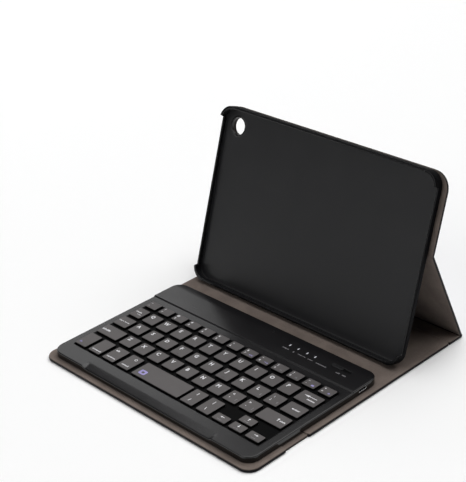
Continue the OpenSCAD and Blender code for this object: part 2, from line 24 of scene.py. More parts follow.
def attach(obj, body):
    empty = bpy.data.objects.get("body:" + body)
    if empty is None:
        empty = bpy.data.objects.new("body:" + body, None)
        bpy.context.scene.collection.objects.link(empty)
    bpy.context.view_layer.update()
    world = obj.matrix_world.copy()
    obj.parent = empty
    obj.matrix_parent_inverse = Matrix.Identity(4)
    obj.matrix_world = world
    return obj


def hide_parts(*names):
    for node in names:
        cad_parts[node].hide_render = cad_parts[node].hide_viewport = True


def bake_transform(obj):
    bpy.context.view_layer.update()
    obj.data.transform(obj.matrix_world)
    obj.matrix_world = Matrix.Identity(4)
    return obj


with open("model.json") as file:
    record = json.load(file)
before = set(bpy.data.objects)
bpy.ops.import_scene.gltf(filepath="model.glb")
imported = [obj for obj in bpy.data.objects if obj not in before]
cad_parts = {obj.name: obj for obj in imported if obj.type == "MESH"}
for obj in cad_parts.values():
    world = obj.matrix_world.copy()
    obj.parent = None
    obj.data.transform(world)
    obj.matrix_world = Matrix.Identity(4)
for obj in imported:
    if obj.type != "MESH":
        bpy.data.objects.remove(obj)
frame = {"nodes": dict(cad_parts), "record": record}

LOG = logging.getLogger("tablet_case")
MM = 0.001
# Points closer than this, in metres, are one point; edges bent by more than this stay sharp.
WELD = 2e-6
SHARP = math.radians(38.0)
# The "edge" value of painted shade: black without glare, between the keys and round the tray's
# wall.
PAINTED_SHADE = 2.0
Array = np.ndarray
Colour = tuple[float, float, float]


def srgb(red: int, green: int, blue: int) -> Colour:
    """Turns a screen colour into linear light: ((c + 0.055) / 1.055) ** 2.4.

    Args:
        red: Red, 0 to 255.
        green: Green, 0 to 255.
        blue: Blue, 0 to 255.

    Returns:
        The linear colour.
    """
    parts = [((c / 255 + 0.055) / 1.055) ** 2.4 for c in (red, green, blue)]
    return parts[0], parts[1], parts[2]


def smooth(x: Array | float) -> Array:
    """Clips x to 0..1 and eases it: 3 x^2 - 2 x^3."""
    t = np.clip(x, 0.0, 1.0)
    return t * t * (3 - 2 * t)


def link(name: str, data: bpy.types.ID) -> bpy.types.Object:
    """Puts data in the scene as an object."""
    made = bpy.data.objects.new(name, data)
    bpy.context.scene.collection.objects.link(made)
    return made


# --------------------------------------------------------------------------------------------------
# Shader node groups and finishes
# --------------------------------------------------------------------------------------------------


class Graph:
    """Adds and wires the nodes of one material or one node group."""

    def __init__(self, tree: bpy.types.NodeTree) -> None:
        """Keeps the tree to build in."""
        self.tree = tree

    def feed(self, node: bpy.types.Node, inputs: dict) -> None:
        """Sets a node's inputs by name or number: a socket is linked, a value is stored."""
        for key, value in inputs.items():
            if isinstance(value, bpy.types.NodeSocket):
                self.tree.links.new(value, node.inputs[key])
            else:
                node.inputs[key].default_value = value

    def node(self, kind: str, inputs: dict | None = None, **settings: object) -> bpy.types.Node:
        """Adds a node.

        Args:
            kind: The type of node.
            inputs: Values or sockets for its inputs, as feed() takes them.
            **settings: Properties of the node.

        Returns:
            The new node.
        """
        made = self.tree.nodes.new(kind)
        for name, value in settings.items():
            setattr(made, name, value)
        self.feed(made, inputs or {})
        return made

    def effect(self, which: Effect, **inputs: object) -> object:
        """Places a shared effect with its own values, and gives its output sockets."""
        made = self.node("ShaderNodeGroup", node_tree=group_of(which))
        self.feed(made, {key: rgba(value) for key, value in inputs.items()})
        return made.outputs

    def close(self, *values: object) -> bpy.types.NodeTree:
        """Feeds a group's outputs in order, and gives its finished tree."""
        self.feed(self.node("NodeGroupOutput"), dict(enumerate(values)))
        return self.tree

    def noise(self, scale: object, detail: float, vector: object, **extra: float) -> object:
        """A noise texture's value socket at that scale, read at that vector."""
        inputs = {"Vector": vector, "Scale": scale, "Detail": detail, **extra}
        return self.node("ShaderNodeTexNoise", inputs).outputs[0]

    def math(self, operation: str, a: object, b: object = 0.0, c: object = 0.0) -> object:
        """The result of one Math node on up to three numbers."""
        inputs = {0: a, 1: b, 2: c}
        return self.node("ShaderNodeMath", inputs, operation=operation).outputs[0]

    def ramp(self, value: object, low: float, high: float, to: tuple = (0.0, 1.0)) -> object:
        """Value carried from low..high to the range `to`, eased and clamped."""
        inputs = {0: value, 1: low, 2: high, 3: to[0], 4: to[1]}
        node = self.node("ShaderNodeMapRange", inputs, interpolation_type="SMOOTHSTEP")
        return node.outputs[0]

    def mix(self, factor: object, a: object, b: object) -> object:
        """A colour between a and b."""
        inputs = {0: factor, 6: rgba(a), 7: rgba(b)}
        return self.node("ShaderNodeMix", inputs, data_type="RGBA").outputs[2]

    def scaled(self, vector: object, factor: object) -> object:
        """A vector or a colour times a number."""
        inputs = {0: vector, 3: factor}
        return self.node("ShaderNodeVectorMath", inputs, operation="SCALE").outputs[0]

    def stretched(self, vector: object, scale: tuple, rotation: tuple = (0.0, 0.0, 0.0)) -> object:
        """Coordinates turned and then scaled along each axis."""
        inputs = {"Vector": vector, "Scale": scale, "Rotation": rotation}
        return self.node("ShaderNodeMapping", inputs).outputs[0]

    def place(self) -> object:
        """The object's own coordinates, in metres."""
        return self.node("ShaderNodeTexCoord").outputs["Object"]


def rgba(colour: object) -> object:
    """A colour with full alpha; a socket passes through."""
    return (*colour, 1.0) if isinstance(colour, tuple) else colour


class Effect(Enum):
    """The shader node groups that several finishes share."""

    PEBBLE = "pebble_grain"
    MOTTLE = "soft_mottle"
    NAP = "brushed_nap"
    MOULD = "moulded_skin"
    EDGE = "edge_mask"


def new_group(effect: Effect, ins: dict[str, float | Colour], outs: Sequence[str]) -> tuple:
    """Starts a shader node group with named sockets.

    Args:
        effect: Which group it is.
        ins: Input names with their default numbers, or a colour as three numbers.
        outs: Output names; one called Color is a colour, the rest are numbers.

    Returns:
        The graph to build in and the sockets of the group's inputs.
    """
    tree = bpy.data.node_groups.new(effect.value, "ShaderNodeTree")
    for name, value in ins.items():
        kind = "NodeSocketColor" if isinstance(value, tuple) else "NodeSocketFloat"
        made = tree.interface.new_socket(name=name, in_out="INPUT", socket_type=kind)
        made.default_value = rgba(value)
    for name in outs:
        kind = "NodeSocketColor" if name == "Color" else "NodeSocketFloat"
        tree.interface.new_socket(name=name, in_out="OUTPUT", socket_type=kind)
    graph = Graph(tree)
    return graph, graph.node("NodeGroupInput").outputs


def group_of(effect: Effect) -> bpy.types.NodeTree:
    """The node group for an effect, built at its first use."""
    return bpy.data.node_groups.get(effect.value) or BUILDERS[effect]()


def build_pebble() -> bpy.types.NodeTree:
    """Pressed leather grain: rounded cells with fine valleys, bent by a slow noise.

    Returns:
        A group from Scale and Depth to Height and Valley.
    """
    g, ins = new_group(Effect.PEBBLE, {"Scale": 1500.0, "Depth": 1.0}, ["Height", "Valley"])
    at = g.place()
    bend = g.node("ShaderNodeTexNoise", {"Vector": at, "Scale": 420.0, "Detail": 2.0})
    shift = g.scaled(bend.outputs[1], 0.0011)
    bent = g.node("ShaderNodeVectorMath", {0: at, 1: shift}, operation="ADD")
    cells = g.node(
        "ShaderNodeTexVoronoi",
        {"Vector": bent.outputs[0], "Scale": ins[0], "Randomness": 0.85},
        feature="SMOOTH_F1",
    )
    crown = g.ramp(cells.outputs["Distance"], 0.05, 0.75, (1.0, 0.0))
    height = g.math("MULTIPLY_ADD", g.noise(3800.0, 3.0, at), 0.35, crown)
    return g.close(g.math("MULTIPLY", height, ins[1]), g.ramp(crown, 0.0, 0.35, (1.0, 0.0)))


def build_mottle() -> bpy.types.NodeTree:
    """Slow and fine changes of tone over one colour.

    Returns:
        A group from Color, Amount and Scale to Color and Value.
    """
    sockets = {"Color": (0.5, 0.5, 0.5), "Amount": 0.15, "Scale": 30.0}
    g, ins = new_group(Effect.MOTTLE, sockets, ["Color", "Value"])
    at = g.place()
    slow = g.noise(ins[2], 4.0, at)
    fine = g.noise(g.math("MULTIPLY", ins[2], 24.0), 3.0, at)
    both = g.math("MULTIPLY_ADD", fine, 0.45, g.math("MULTIPLY", slow, 0.55))
    span = g.math("MULTIPLY", g.math("SUBTRACT", both, 0.5), ins[1])
    return g.close(g.scaled(ins[0], g.math("MULTIPLY_ADD", span, 3.0, 1.0)), both)


def build_nap() -> bpy.types.NodeTree:
    """Brushed microfibre: short fibres drawn along x over soft clouds of nap.

    Returns:
        A group from Scale to Height and Cloud.
    """
    g, ins = new_group(Effect.NAP, {"Scale": 1.0}, ["Height", "Cloud"])
    at = g.place()
    along = g.stretched(at, (700.0, 2600.0, 2600.0))
    across = g.stretched(at, (2400.0, 900.0, 900.0))
    fibre = g.noise(ins[0], 3.0, along, Distortion=0.8)
    cross = g.noise(ins[0], 2.0, across, Distortion=0.6)
    cloud = g.ramp(g.noise(55.0, 5.0, at, Distortion=0.4), 0.32, 0.68)
    return g.close(g.math("ADD", fibre, g.math("MULTIPLY", cross, 0.6)), cloud)


def build_mould() -> bpy.types.NodeTree:
    """Moulded plastic skin: spark texture, a slow flow waviness and a few fine scuffs.

    Returns:
        A group from Texture, Wave and Roughness to Height and Roughness.
    """
    sockets = {"Texture": 1.0, "Wave": 0.2, "Roughness": 0.3}
    g, ins = new_group(Effect.MOULD, sockets, ["Height", "Roughness"])
    at = g.place()
    height = g.math("MULTIPLY", g.noise(4200.0, 3.0, at), ins[0])
    height = g.math("MULTIPLY_ADD", g.noise(28.0, 2.0, at), ins[1], height)
    hair = g.stretched(at, (60.0, 1500.0, 900.0), (0.3, 0.2, 0.6))
    scuff = g.ramp(g.noise(1.0, 4.0, hair, Distortion=1.2), 0.6, 0.8, (0.0, 0.035))
    smudge = g.ramp(g.noise(60.0, 5.0, at), 0.35, 0.75, (-0.012, 0.02))
    return g.close(height, g.math("ADD", g.math("ADD", scuff, smudge), ins[2]))


def build_edge() -> bpy.types.NodeTree:
    """Reads the "edge" attribute that the shells carry and roughens its border with noise.

    Returns:
        A group from Softness to Mask, and a second output where the attribute rises from 1 to 2,
        the mark of painted shade.
    """
    g, ins = new_group(Effect.EDGE, {"Softness": 0.3}, ["Mask", "PaintedShade"])
    edge = g.node("ShaderNodeAttribute", attribute_name="edge").outputs["Fac"]
    grit = g.math("SUBTRACT", g.noise(900.0, 4.0, g.place()), 0.5)
    mask = g.ramp(g.math("MULTIPLY_ADD", grit, ins[0], edge), 0.05, 0.95)
    return g.close(g.math("MULTIPLY", mask, g.ramp(edge, 0.0, 0.1)), g.ramp(edge, 1.1, 1.9))


BUILDERS: dict[Effect, Callable[[], bpy.types.NodeTree]] = {
    Effect.PEBBLE: build_pebble,
    Effect.MOTTLE: build_mottle,
    Effect.NAP: build_nap,
    Effect.MOULD: build_mould,
    Effect.EDGE: build_edge,
}


@dataclass(frozen=True)
class Finish:
    """What every finish has: a name, and a surface that build() wires to a shader."""

    name: str

    def surface(self, g: Graph) -> tuple[dict, tuple]:
        """The shader's inputs, and its relief as (height, strength, depth in mm) or nothing."""
        raise NotImplementedError

    def build(self) -> bpy.types.Material:
        """Makes the material: a Principled BSDF fed by the surface and its relief."""
        material = bpy.data.materials.new(f"{self.name}_finish")
        material.use_nodes = True
        material.node_tree.nodes.clear()
        g = Graph(material.node_tree)
        inputs, relief = self.surface(g)
        if relief:
            height, strength, depth = relief
            shape = {"Height": height, "Strength": strength, "Distance": depth * MM}
            inputs["Normal"] = g.node("ShaderNodeBump", shape).outputs[0]
        shader = g.node("ShaderNodeBsdfPrincipled", inputs)
        g.node("ShaderNodeOutputMaterial", {0: shader.outputs[0]})
        return material


@dataclass(frozen=True)
class LeatherFinish(Finish):
    """Coated leather with a fine pressed grain, darker in its pressed lines, and near black over
    its cut and rolled edges: partly edge paint, partly painted shade.
    """

    name: str = "navy_leather"
    colour: Colour = srgb(93, 96, 124)
    valley: Colour = srgb(56, 58, 84)
    # Near-black colour of the marked edges: partly edge paint, partly painted shade over the rolled
    # edge.
    dark_edge_and_shade: Colour = srgb(20, 19, 22)
    roughness: float = 0.47
    gloss: float = 0.42
    dull: float = 0.86

    def surface(self, g: Graph) -> tuple[dict, tuple]:
        """Grain over mottled colour; the near-black edge colour is partly edge paint and partly
        painted shade, and Metallic there takes its glare away.
        """
        tone = g.effect(Effect.MOTTLE, Color=self.colour, Amount=0.05, Scale=18.0)
        grain = g.effect(Effect.PEBBLE, Scale=1500.0, Depth=1.0)
        edge = g.effect(Effect.EDGE, Softness=0.35)[0]
        colour = g.mix(g.math("MULTIPLY", grain[1], 0.3), tone[0], self.valley)
        inputs = {
            "Base Color": g.mix(edge, colour, self.dark_edge_and_shade),
            "Roughness": g.math("MULTIPLY_ADD", tone[1], 0.16, self.roughness - 0.08),
            "Metallic": g.math("MULTIPLY", edge, self.dull),
            "Specular IOR Level": self.gloss,
        }
        return inputs, (grain[0], 0.55, 0.05)


@dataclass(frozen=True)
class LiningFinish(Finish):
    """Brushed microfibre, smoother and darker where it is pressed."""

    name: str = "taupe_lining"
    colour: Colour = srgb(115, 104, 97)
    shade: Colour = srgb(98, 88, 82)
    fibre: Colour = srgb(130, 119, 113)
    pressed: Colour = srgb(78, 70, 65)

    def surface(self, g: Graph) -> tuple[dict, tuple]:
        """Clouds of nap between two tones, with paler fibres and a soft sheen."""
        nap = g.effect(Effect.NAP, Scale=1.0)
        edge = g.effect(Effect.EDGE, Softness=0.5)[0]
        fibre = g.math("MULTIPLY", g.ramp(nap[0], 0.55, 1.1), 0.35)
        colour = g.mix(fibre, g.mix(nap[1], self.shade, self.colour), self.fibre)
        inputs = {
            "Base Color": g.mix(edge, colour, self.pressed),
            "Roughness": 0.9,
            "Specular IOR Level": 0.18,
            "Sheen Weight": 0.28,
            "Sheen Roughness": 0.45,
            "Sheen Tint": (0.62, 0.55, 0.52, 1.0),
        }
        return inputs, (nap[0], 0.45, 0.09)


@dataclass(frozen=True)
class PlasticFinish(Finish):
    """Moulded plastic; parts marked as edge take a second colour and gloss; painted-shade parts
    take that colour without glare.
    """

    colour: Colour
    edge_colour: Colour
    roughness: float = 0.3
    edge_roughness: float = 0.3
    texture: float = 0.3
    wave: float = 0.2
    depth: float = 0.02
    gloss: float = 0.5

    def surface(self, g: Graph) -> tuple[dict, tuple]:
        """Spark texture over one colour; Metallic, on the black parts marked as painted shade,
        takes their glare away.
        """
        tone = g.effect(Effect.MOTTLE, Color=self.colour, Amount=0.06, Scale=40.0)
        skin = g.effect(
            Effect.MOULD, Texture=self.texture, Wave=self.wave, Roughness=self.roughness
        )
        # The second mask marks painted shade: black, with its glare taken away.
        edge, painted_shade = g.effect(Effect.EDGE, Softness=0.1)
        change = self.edge_roughness - self.roughness
        rough = g.math("MULTIPLY_ADD", edge, change, skin[1])
        inputs = {
            "Base Color": g.mix(edge, tone[0], self.edge_colour),
            "Roughness": g.math("MULTIPLY_ADD", painted_shade, 0.5, rough),
            "Metallic": g.math("MULTIPLY", painted_shade, 0.95),
            "Specular IOR Level": self.gloss,
        }
        return inputs, (skin[0], 0.5, self.depth)


@dataclass(frozen=True)
class MetalFinish(Finish):
    """Plated or foil metal with a drawn grain and slight tarnish."""

    colour: Colour
    roughness: float = 0.3

    def surface(self, g: Graph) -> tuple[dict, tuple]:
        """Tarnish over one colour, with a wavy, finely scuffed skin."""
        tone = g.effect(Effect.MOTTLE, Color=self.colour, Amount=0.12, Scale=90.0)
        skin = g.effect(Effect.MOULD, Texture=0.2, Wave=0.6, Roughness=self.roughness)
        inputs = {"Base Color": tone[0], "Roughness": skin[1], "Metallic": 1.0}
        return inputs, (skin[0], 0.3, 0.02)


@dataclass(frozen=True)
class PressedFinish(Finish):
    """Dull pressed or printed stock: millboard, film, rubber, adhesive or ink."""

    colour: Colour
    fleck: Colour
    roughness: float = 0.8
    scale: float = 260.0

    def surface(self, g: Graph) -> tuple[dict, tuple]:
        """Flecks of a second colour over a mottled one."""
        tone = g.effect(Effect.MOTTLE, Color=self.colour, Amount=0.12, Scale=60.0)
        fleck = g.noise(self.scale, 6.0, g.place(), Distortion=0.7)
        colour = g.mix(g.ramp(fleck, 0.56, 0.7), tone[0], self.fleck)
        return {"Base Color": colour, "Roughness": self.roughness}, (fleck, 0.35, 0.08)


@dataclass(frozen=True)
class PaperFinish(Finish):
    """The studio's white paper."""

    name: str = "studio_paper"
    white: float = 0.96

    def surface(self, g: Graph) -> tuple[dict, tuple]:
        """A hardly visible change of tone, with no relief."""
        white = (self.white,) * 3
        tone = g.effect(Effect.MOTTLE, Color=white, Amount=0.003, Scale=3.0)
        return {"Base Color": tone[0], "Roughness": 0.9, "Specular IOR Level": 0.1}, ()


BLACK = srgb(19, 19, 21)
# Near black of glossy edges, also painted shade between the keys and on the keys' sides.
EDGE_BLACK_AND_SHADE = srgb(7, 7, 8)
MOULDED = (
    PlasticFinish(
        "tray_plastic", srgb(27, 27, 29), srgb(12, 12, 14), 0.32, 0.2, 0.12, 0.2, 0.03, gloss=0.4
    ),
    PlasticFinish("case_plastic", srgb(16, 15, 17), EDGE_BLACK_AND_SHADE, 0.24, 0.1, 0.12, 0.12),
    PlasticFinish("plate_plastic", srgb(30, 30, 32), BLACK, 0.55, 0.5, 1.0),
    # Key tops: dark grey, lightened partly as painted sheen; their sides take the near-black
    # colour, partly painted shade.
    PlasticFinish("keycap_plastic", srgb(77, 73, 73), EDGE_BLACK_AND_SHADE, 0.46, 0.14, 1.0, 0.1, 0.045),
    PlasticFinish("link_plastic", srgb(206, 206, 204), srgb(180, 180, 178), 0.45),
    PlasticFinish("light_pipe", srgb(226, 228, 236), srgb(226, 228, 236)),
    PlasticFinish("slider_plastic", srgb(24, 24, 26), BLACK, 0.25, 0.2, 0.1),
)
METALS = (
    MetalFinish("magnet_steel", srgb(186, 188, 192), 0.28),
    MetalFinish("battery_foil", srgb(176, 178, 184), 0.42),
    MetalFinish("socket_steel", srgb(196, 198, 200), 0.24),
)
PRESSED = (
    PressedFinish("greyboard", srgb(140, 134, 124), srgb(96, 90, 84), 0.9, 420.0),
    PressedFinish("membrane_film", srgb(182, 188, 178), srgb(120, 128, 122), 0.4),
    PressedFinish("dome_rubber", srgb(196, 198, 202), srgb(170, 172, 178), 0.5),
    PressedFinish("circuit_board", srgb(22, 74, 48), srgb(160, 150, 96), 0.4, 700.0),
    PressedFinish("adhesive", srgb(206, 204, 196), srgb(190, 188, 180), 0.6),
    PressedFinish("foot_rubber", srgb(27, 27, 28), srgb(40, 40, 41), 0.85, 900.0),
    PressedFinish("white_ink", srgb(233, 233, 236), srgb(205, 205, 210), 0.55, 1800.0),
    PressedFinish("lilac_ink", srgb(158, 150, 204), srgb(128, 120, 176), 0.55, 1800.0),
    PressedFinish("grey_ink", srgb(128, 127, 130), srgb(100, 99, 102), 0.55, 1800.0),
)
FINISHES: dict[str, Finish] = {
    made.name: made
    for made in (LeatherFinish(), LiningFinish(), PaperFinish(), *MOULDED, *METALS, *PRESSED)
}
MADE: dict[str, bpy.types.Material] = {}


def finish(name: str) -> bpy.types.Material:
    """The material of a named finish, built at its first use."""
    if name not in MADE:
        MADE[name] = FINISHES[name].build()
    return MADE[name]


# --------------------------------------------------------------------------------------------------
# Shapes
# --------------------------------------------------------------------------------------------------


@dataclass(frozen=True)
class Placement:
    """A turn about x and a shift that carry part of the flat folio to its place."""

    turn: float = 0.0
    y: float = 0.0
    z: float = 0.0

    def apply(self, points: Array) -> Array:
        """Turns and shifts points: y' = y cos t - z sin t + Y, z' = y sin t + z cos t + Z."""
        c, s = math.cos(math.radians(self.turn)), math.sin(math.radians(self.turn))
        x, y, z = points[..., 0], points[..., 1], points[..., 2]
        return np.stack([x, y * c - z * s + self.y, y * s + z * c + self.z], axis=-1)

    def hinged(self, y: float, z: float, turn: float) -> Placement:
        """This placement after a turn about the flat folio's line at (y, z).

        Args:
            y: Where the fold line is along the flat folio.
            z: Height of the fold line over the outer face.
            turn: Degrees of fold.

        Returns:
            The placement of what lies beyond the fold.
        """
        total = self.turn + turn
        here = self.apply(np.array([0.0, y, z]))
        moved = Placement(total).apply(np.array([0.0, y, z]))
        return Placement(total, here[1] - moved[1], here[2] - moved[2])


def rounded_loop(
    half: float,
    y0: float,
    y1: float,
    r0: float,
    r1: float,
    xs: Sequence[float] = (),
    ys: Sequence[float] = (),
    steps: int = 8,
) -> Array:
    """Outline of a rectangle with quarter-circle corners, p = c + r (cos a, sin a).

    Args:
        half: Half its width; it is centred on x = 0.
        y0: Its near end.
        y1: Its far end.
        r0: Corner radius at the near end.
        r1: Corner radius at the far end.
        xs: Extra stops along the two ends, kept where the end is straight.
        ys: Extra stops along the two sides, in rising order.
        steps: Spans in each corner.

    Returns:
        The points, anticlockwise, in a shape of (n, 2).
    """
    r0, r1 = max(r0, 0.04), max(r1, 0.04)
    arc = np.linspace(0.0, math.pi / 2, steps + 1)

    def corner(cx: float, cy: float, r: float, start: float) -> Array:
        """One corner's points."""
        return np.stack([cx + r * np.cos(arc + start), cy + r * np.sin(arc + start)], axis=-1)

    def run(values: Sequence[float], fixed: float, along_x: bool) -> Array:
        """Stops on a straight side."""
        values = np.asarray(values, float)
        other = np.full_like(values, fixed)
        return np.stack([values, other] if along_x else [other, values], axis=-1)

    xs, ys = np.asarray(xs, float), np.asarray(ys, float)
    quarter = math.pi / 2
    return np.concatenate(
        [
            run(xs, y0, True),
            corner(half - r0, y0 + r0, r0, -quarter),
            run(ys, half, False),
            corner(half - r1, y1 - r1, r1, 0.0),
            run(xs[::-1], y1, True),
            corner(-half + r1, y1 - r1, r1, quarter),
            run(ys[::-1], -half, False),
            corner(-half + r0, y0 + r0, r0, 2 * quarter),
        ]
    )


def circle(x: float, y: float, r: float, count: int = 48) -> Array:
    """A circle's points, p = c + r (cos a, sin a)."""
    a = np.arange(count) * (2 * math.pi / count)
    return np.stack([x + r * np.cos(a), y + r * np.sin(a)], axis=-1)


def inside(points: Array, loops: Sequence[Array]) -> Array:
    """Even-odd test of points against all the loops together.

    Args:
        points: The points, (n, 2).
        loops: Closed outlines, each (m, 2).

    Returns:
        True for each point that a ray crosses an odd number of edges from.
    """
    odd = np.zeros(len(points), bool)
    px, py = points[:, :1], points[:, 1:]
    for loop in loops:
        a, b = loop, np.roll(loop, -1, axis=0)
        spans = (a[:, 1] > py) != (b[:, 1] > py)
        rise = np.where(a[:, 1] == b[:, 1], 1.0, b[:, 1] - a[:, 1])
        cross = a[:, 0] + (py - a[:, 1]) * (b[:, 0] - a[:, 0]) / rise
        odd ^= (np.sum(spans & (px < cross), axis=1) % 2).astype(bool)
    return odd


class Shell:
    """Collects patches of surface in millimetres and welds them into one closed mesh."""

    def __init__(self) -> None:
        """Starts with nothing."""
        self.points: list[Array] = []
        self.marks: list[Array] = []
        self.faces: list[list[int]] = []
        self.count = 0

    def add(self, points: Array, faces: Sequence[Sequence[int]], mark: Array | float = 0.0) -> None:
        """Adds points and the faces between them.

        Args:
            points: Shape (n, 3).
            faces: Indices into those points.
            mark: The "edge" value of the points.
        """
        self.points.append(points)
        self.marks.append(np.broadcast_to(np.asarray(mark, float), (len(points),)))
        start = self.count
        self.faces.extend([[start + i for i in f] for f in faces])
        self.count += len(points)

    def loft(
        self, rings: Array, mark: Array | Sequence[float] | float = 0.0, skip: Array | None = None
    ) -> None:
        """Joins each closed ring to the next with four-sided faces.

        Args:
            rings: Shape (levels, n, 3).
            mark: One "edge" value, one for each level, or one for each point of each level.
            skip: True for each face, (levels - 1, n), that is left open.
        """
        levels, n = rings.shape[:2]
        low = np.arange((levels - 1) * n).reshape(levels - 1, n)
        side = np.roll(low, -1, axis=1)
        quads = np.stack([low, side, side + n, low + n], axis=-1)
        quads = quads.reshape(-1, 4) if skip is None else quads[~skip]
        marks = np.asarray(mark, float)
        marks = marks[:, None] if marks.ndim == 1 else marks
        marks = np.broadcast_to(marks, (levels, n)).reshape(-1)
        self.add(rings.reshape(-1, 3), quads.tolist(), marks)

    def cap(self, ring: Array, mark: float = 0.0) -> None:
        """Closes a ring with one face."""
        self.add(ring, [list(range(len(ring)))], mark)

    def solid(self, rings: Array, mark: Array | float = 0.0) -> None:
        """Lofts the rings and closes the first and the last."""
        self.loft(rings, mark)
        self.cap(rings[0])
        self.cap(rings[-1])

    def fill(
        self,
        loops: Sequence[Array],
        height: Callable[[Array], Array],
        extra: Array | None = None,
        lines: Sequence[tuple[int, int]] = (),
        mark: Callable[[Array], Array] | float = 0.0,
    ) -> None:
        """Fills an outline with holes by a constrained triangulation, lifted to z = height(x, y).

        Args:
            loops: The outline and then its holes, each (n, 2).
            height: Gives z for points of shape (n, 2).
            extra: More points to use, (m, 2).
            lines: Pairs of numbers of extra points that an edge must join.
            mark: The "edge" value, or a function of points (n, 2) that gives it.
        """
        parts = [*loops, extra] if extra is not None else list(loops)
        flat = np.concatenate(parts)
        edges, start = [], 0
        for loop in loops:
            n = len(loop)
            edges += [(start + i, start + (i + 1) % n) for i in range(n)]
            start += n
        edges += [(start + a, start + b) for a, b in lines]
        found = delaunay_2d_cdt([Vector(p) for p in flat.tolist()], edges, [], 0, 1e-5)
        verts = np.array([tuple(v) for v in found[0]])
        tris = np.array([f for f in found[2] if len(f) == 3])
        keep = inside(verts[tris].mean(axis=1), loops)
        points = np.column_stack([verts, height(verts)])
        self.add(points, tris[keep].tolist(), mark(verts) if callable(mark) else mark)

    def mesh(self, name: str, place: Placement | None = None) -> bpy.types.Object:
        """Welds the patches, points the faces outwards and makes the object.

        Args:
            name: The piece's name.
            place: Where the folded folio carries it.

        Returns:
            The object, in metres, at the origin.
        """
        points = np.concatenate(self.points)
        points = (place.apply(points) if place else points) * MM
        data = bpy.data.meshes.new(name)
        data.from_pydata(points.tolist(), [], self.faces)
        marks = data.attributes.new("edge", "FLOAT", "POINT")
        marks.data.foreach_set("value", np.concatenate(self.marks).astype(np.float32))
        work = bmesh.new()
        work.from_mesh(data)
        bmesh.ops.remove_doubles(work, verts=work.verts, dist=WELD)
        bmesh.ops.dissolve_degenerate(work, edges=work.edges, dist=WELD / 2)
        bmesh.ops.recalc_face_normals(work, faces=work.faces)
        work.to_mesh(data)
        work.free()
        data.polygons.foreach_set("use_smooth", np.ones(len(data.polygons), bool))
        data.set_sharp_from_angle(angle=SHARP)
        made = link(name, data)
        weigh = made.modifiers.new("face_weight", "WEIGHTED_NORMAL")
        weigh.keep_sharp = True
        return made


def lift(outline: Array, z: float | Array) -> Array:
    """An outline of shape (n, 2) at height z."""
    return np.column_stack([outline, np.broadcast_to(np.asarray(z, float), (len(outline),))])


def flat_at(z: float) -> Callable[[Array], Array]:
    """A height function that is the same everywhere."""
    return lambda points: np.full(len(points), z)


def round_rings(x: float, y: float, rows: Sequence[tuple[float, float]]) -> Array:
    """Rings of a round hole or foot about (x, y), one for each (radius, height)."""
    return np.stack([lift(circle(x, y, r), z) for r, z in rows])


def bar_rings(
    half: tuple[float, float],
    r: float,
    at: tuple[float, float],
    rows: Sequence[tuple[float, float]],
    steps: int = 4,
) -> Array:
    """Rings of an upright bar with rounded corners: its outline moved inwards by d, at height z.

    Args:
        half: Half its length along x and along y.
        r: Corner radius.
        at: Its middle.
        rows: (d, z) of each ring.
        steps: Spans in each corner.

    Returns:
        The rings, (len(rows), n, 3).
    """
    hx, hy = half
    rings = []
    for d, z in rows:
        soft = max(r - d, 0.05)
        flat = rounded_loop(hx - d, d - hy, hy - d, soft, soft, steps=steps)
        rings.append(lift(flat + [*at], z))
    return np.stack(rings)


def hand_over(
    made: Shell,
    name: str,
    look: str,
    body: str,
    nodes: Sequence[str] = (),
    slot: str | None = None,
    place: Placement | None = None,
) -> None:
    """Makes a dressed piece of a shell, and lets it ride on its body for the plain nodes.

    Args:
        made: The finished shell.
        name: The piece's name.
        look: Its finish.
        body: The body it rides on.
        nodes: The nodes it stands for.
        slot: Not used.
        place: Where the folded folio carries it.
    """
    piece = made.mesh(name, place)
    piece.data.materials.append(finish(look))
    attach(piece, body)
    slot or look
    if nodes:
        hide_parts(*nodes)
    LOG.info("%s rides on %s, %d faces", name, body, len(piece.data.polygons))


# --------------------------------------------------------------------------------------------------
# Folio
# --------------------------------------------------------------------------------------------------

CASE_HALF = 105.4
PANEL_T = 2.6
# Height at which a panel's leather ends and its lining begins.
SPLIT = 2.0
# Fold lines along the flat folio, from its front edge to the end of the upper back.
Y_FRONT, Y_FLAP, Y_STRIP = -106.95, -73.15, -53.15
Y_COVER, Y_FOLD = 92.65, 104.35
Y_CREASE = Y_FOLD + 81.5
Y_END = Y_CREASE + 57.236
# The soft strip has no board, so it is thinner, and a little narrower.
STRIP_SPLIT, STRIP_TOP, STRIP_HALF = 0.6, 1.7, 104.1
# How the leg and the upper back are folded up.
LEG_TURN, CREASE_TURN = 113.0, -42.0
FLAT = Placement()
LEG = FLAT.hinged(Y_FOLD, PANEL_T, LEG_TURN)
BACK = LEG.hinged(Y_CREASE, 0.0, CREASE_TURN)
# Middle of the tray, and the round camera window through the back and the tray.
TRAY_X = -1.4
CAMERA_X, CAMERA_Y, CAMERA_R = -89.9, Y_CREASE + 42.73, 6.5
# Nothing dips below this height over the table.
LOWEST = 0.02


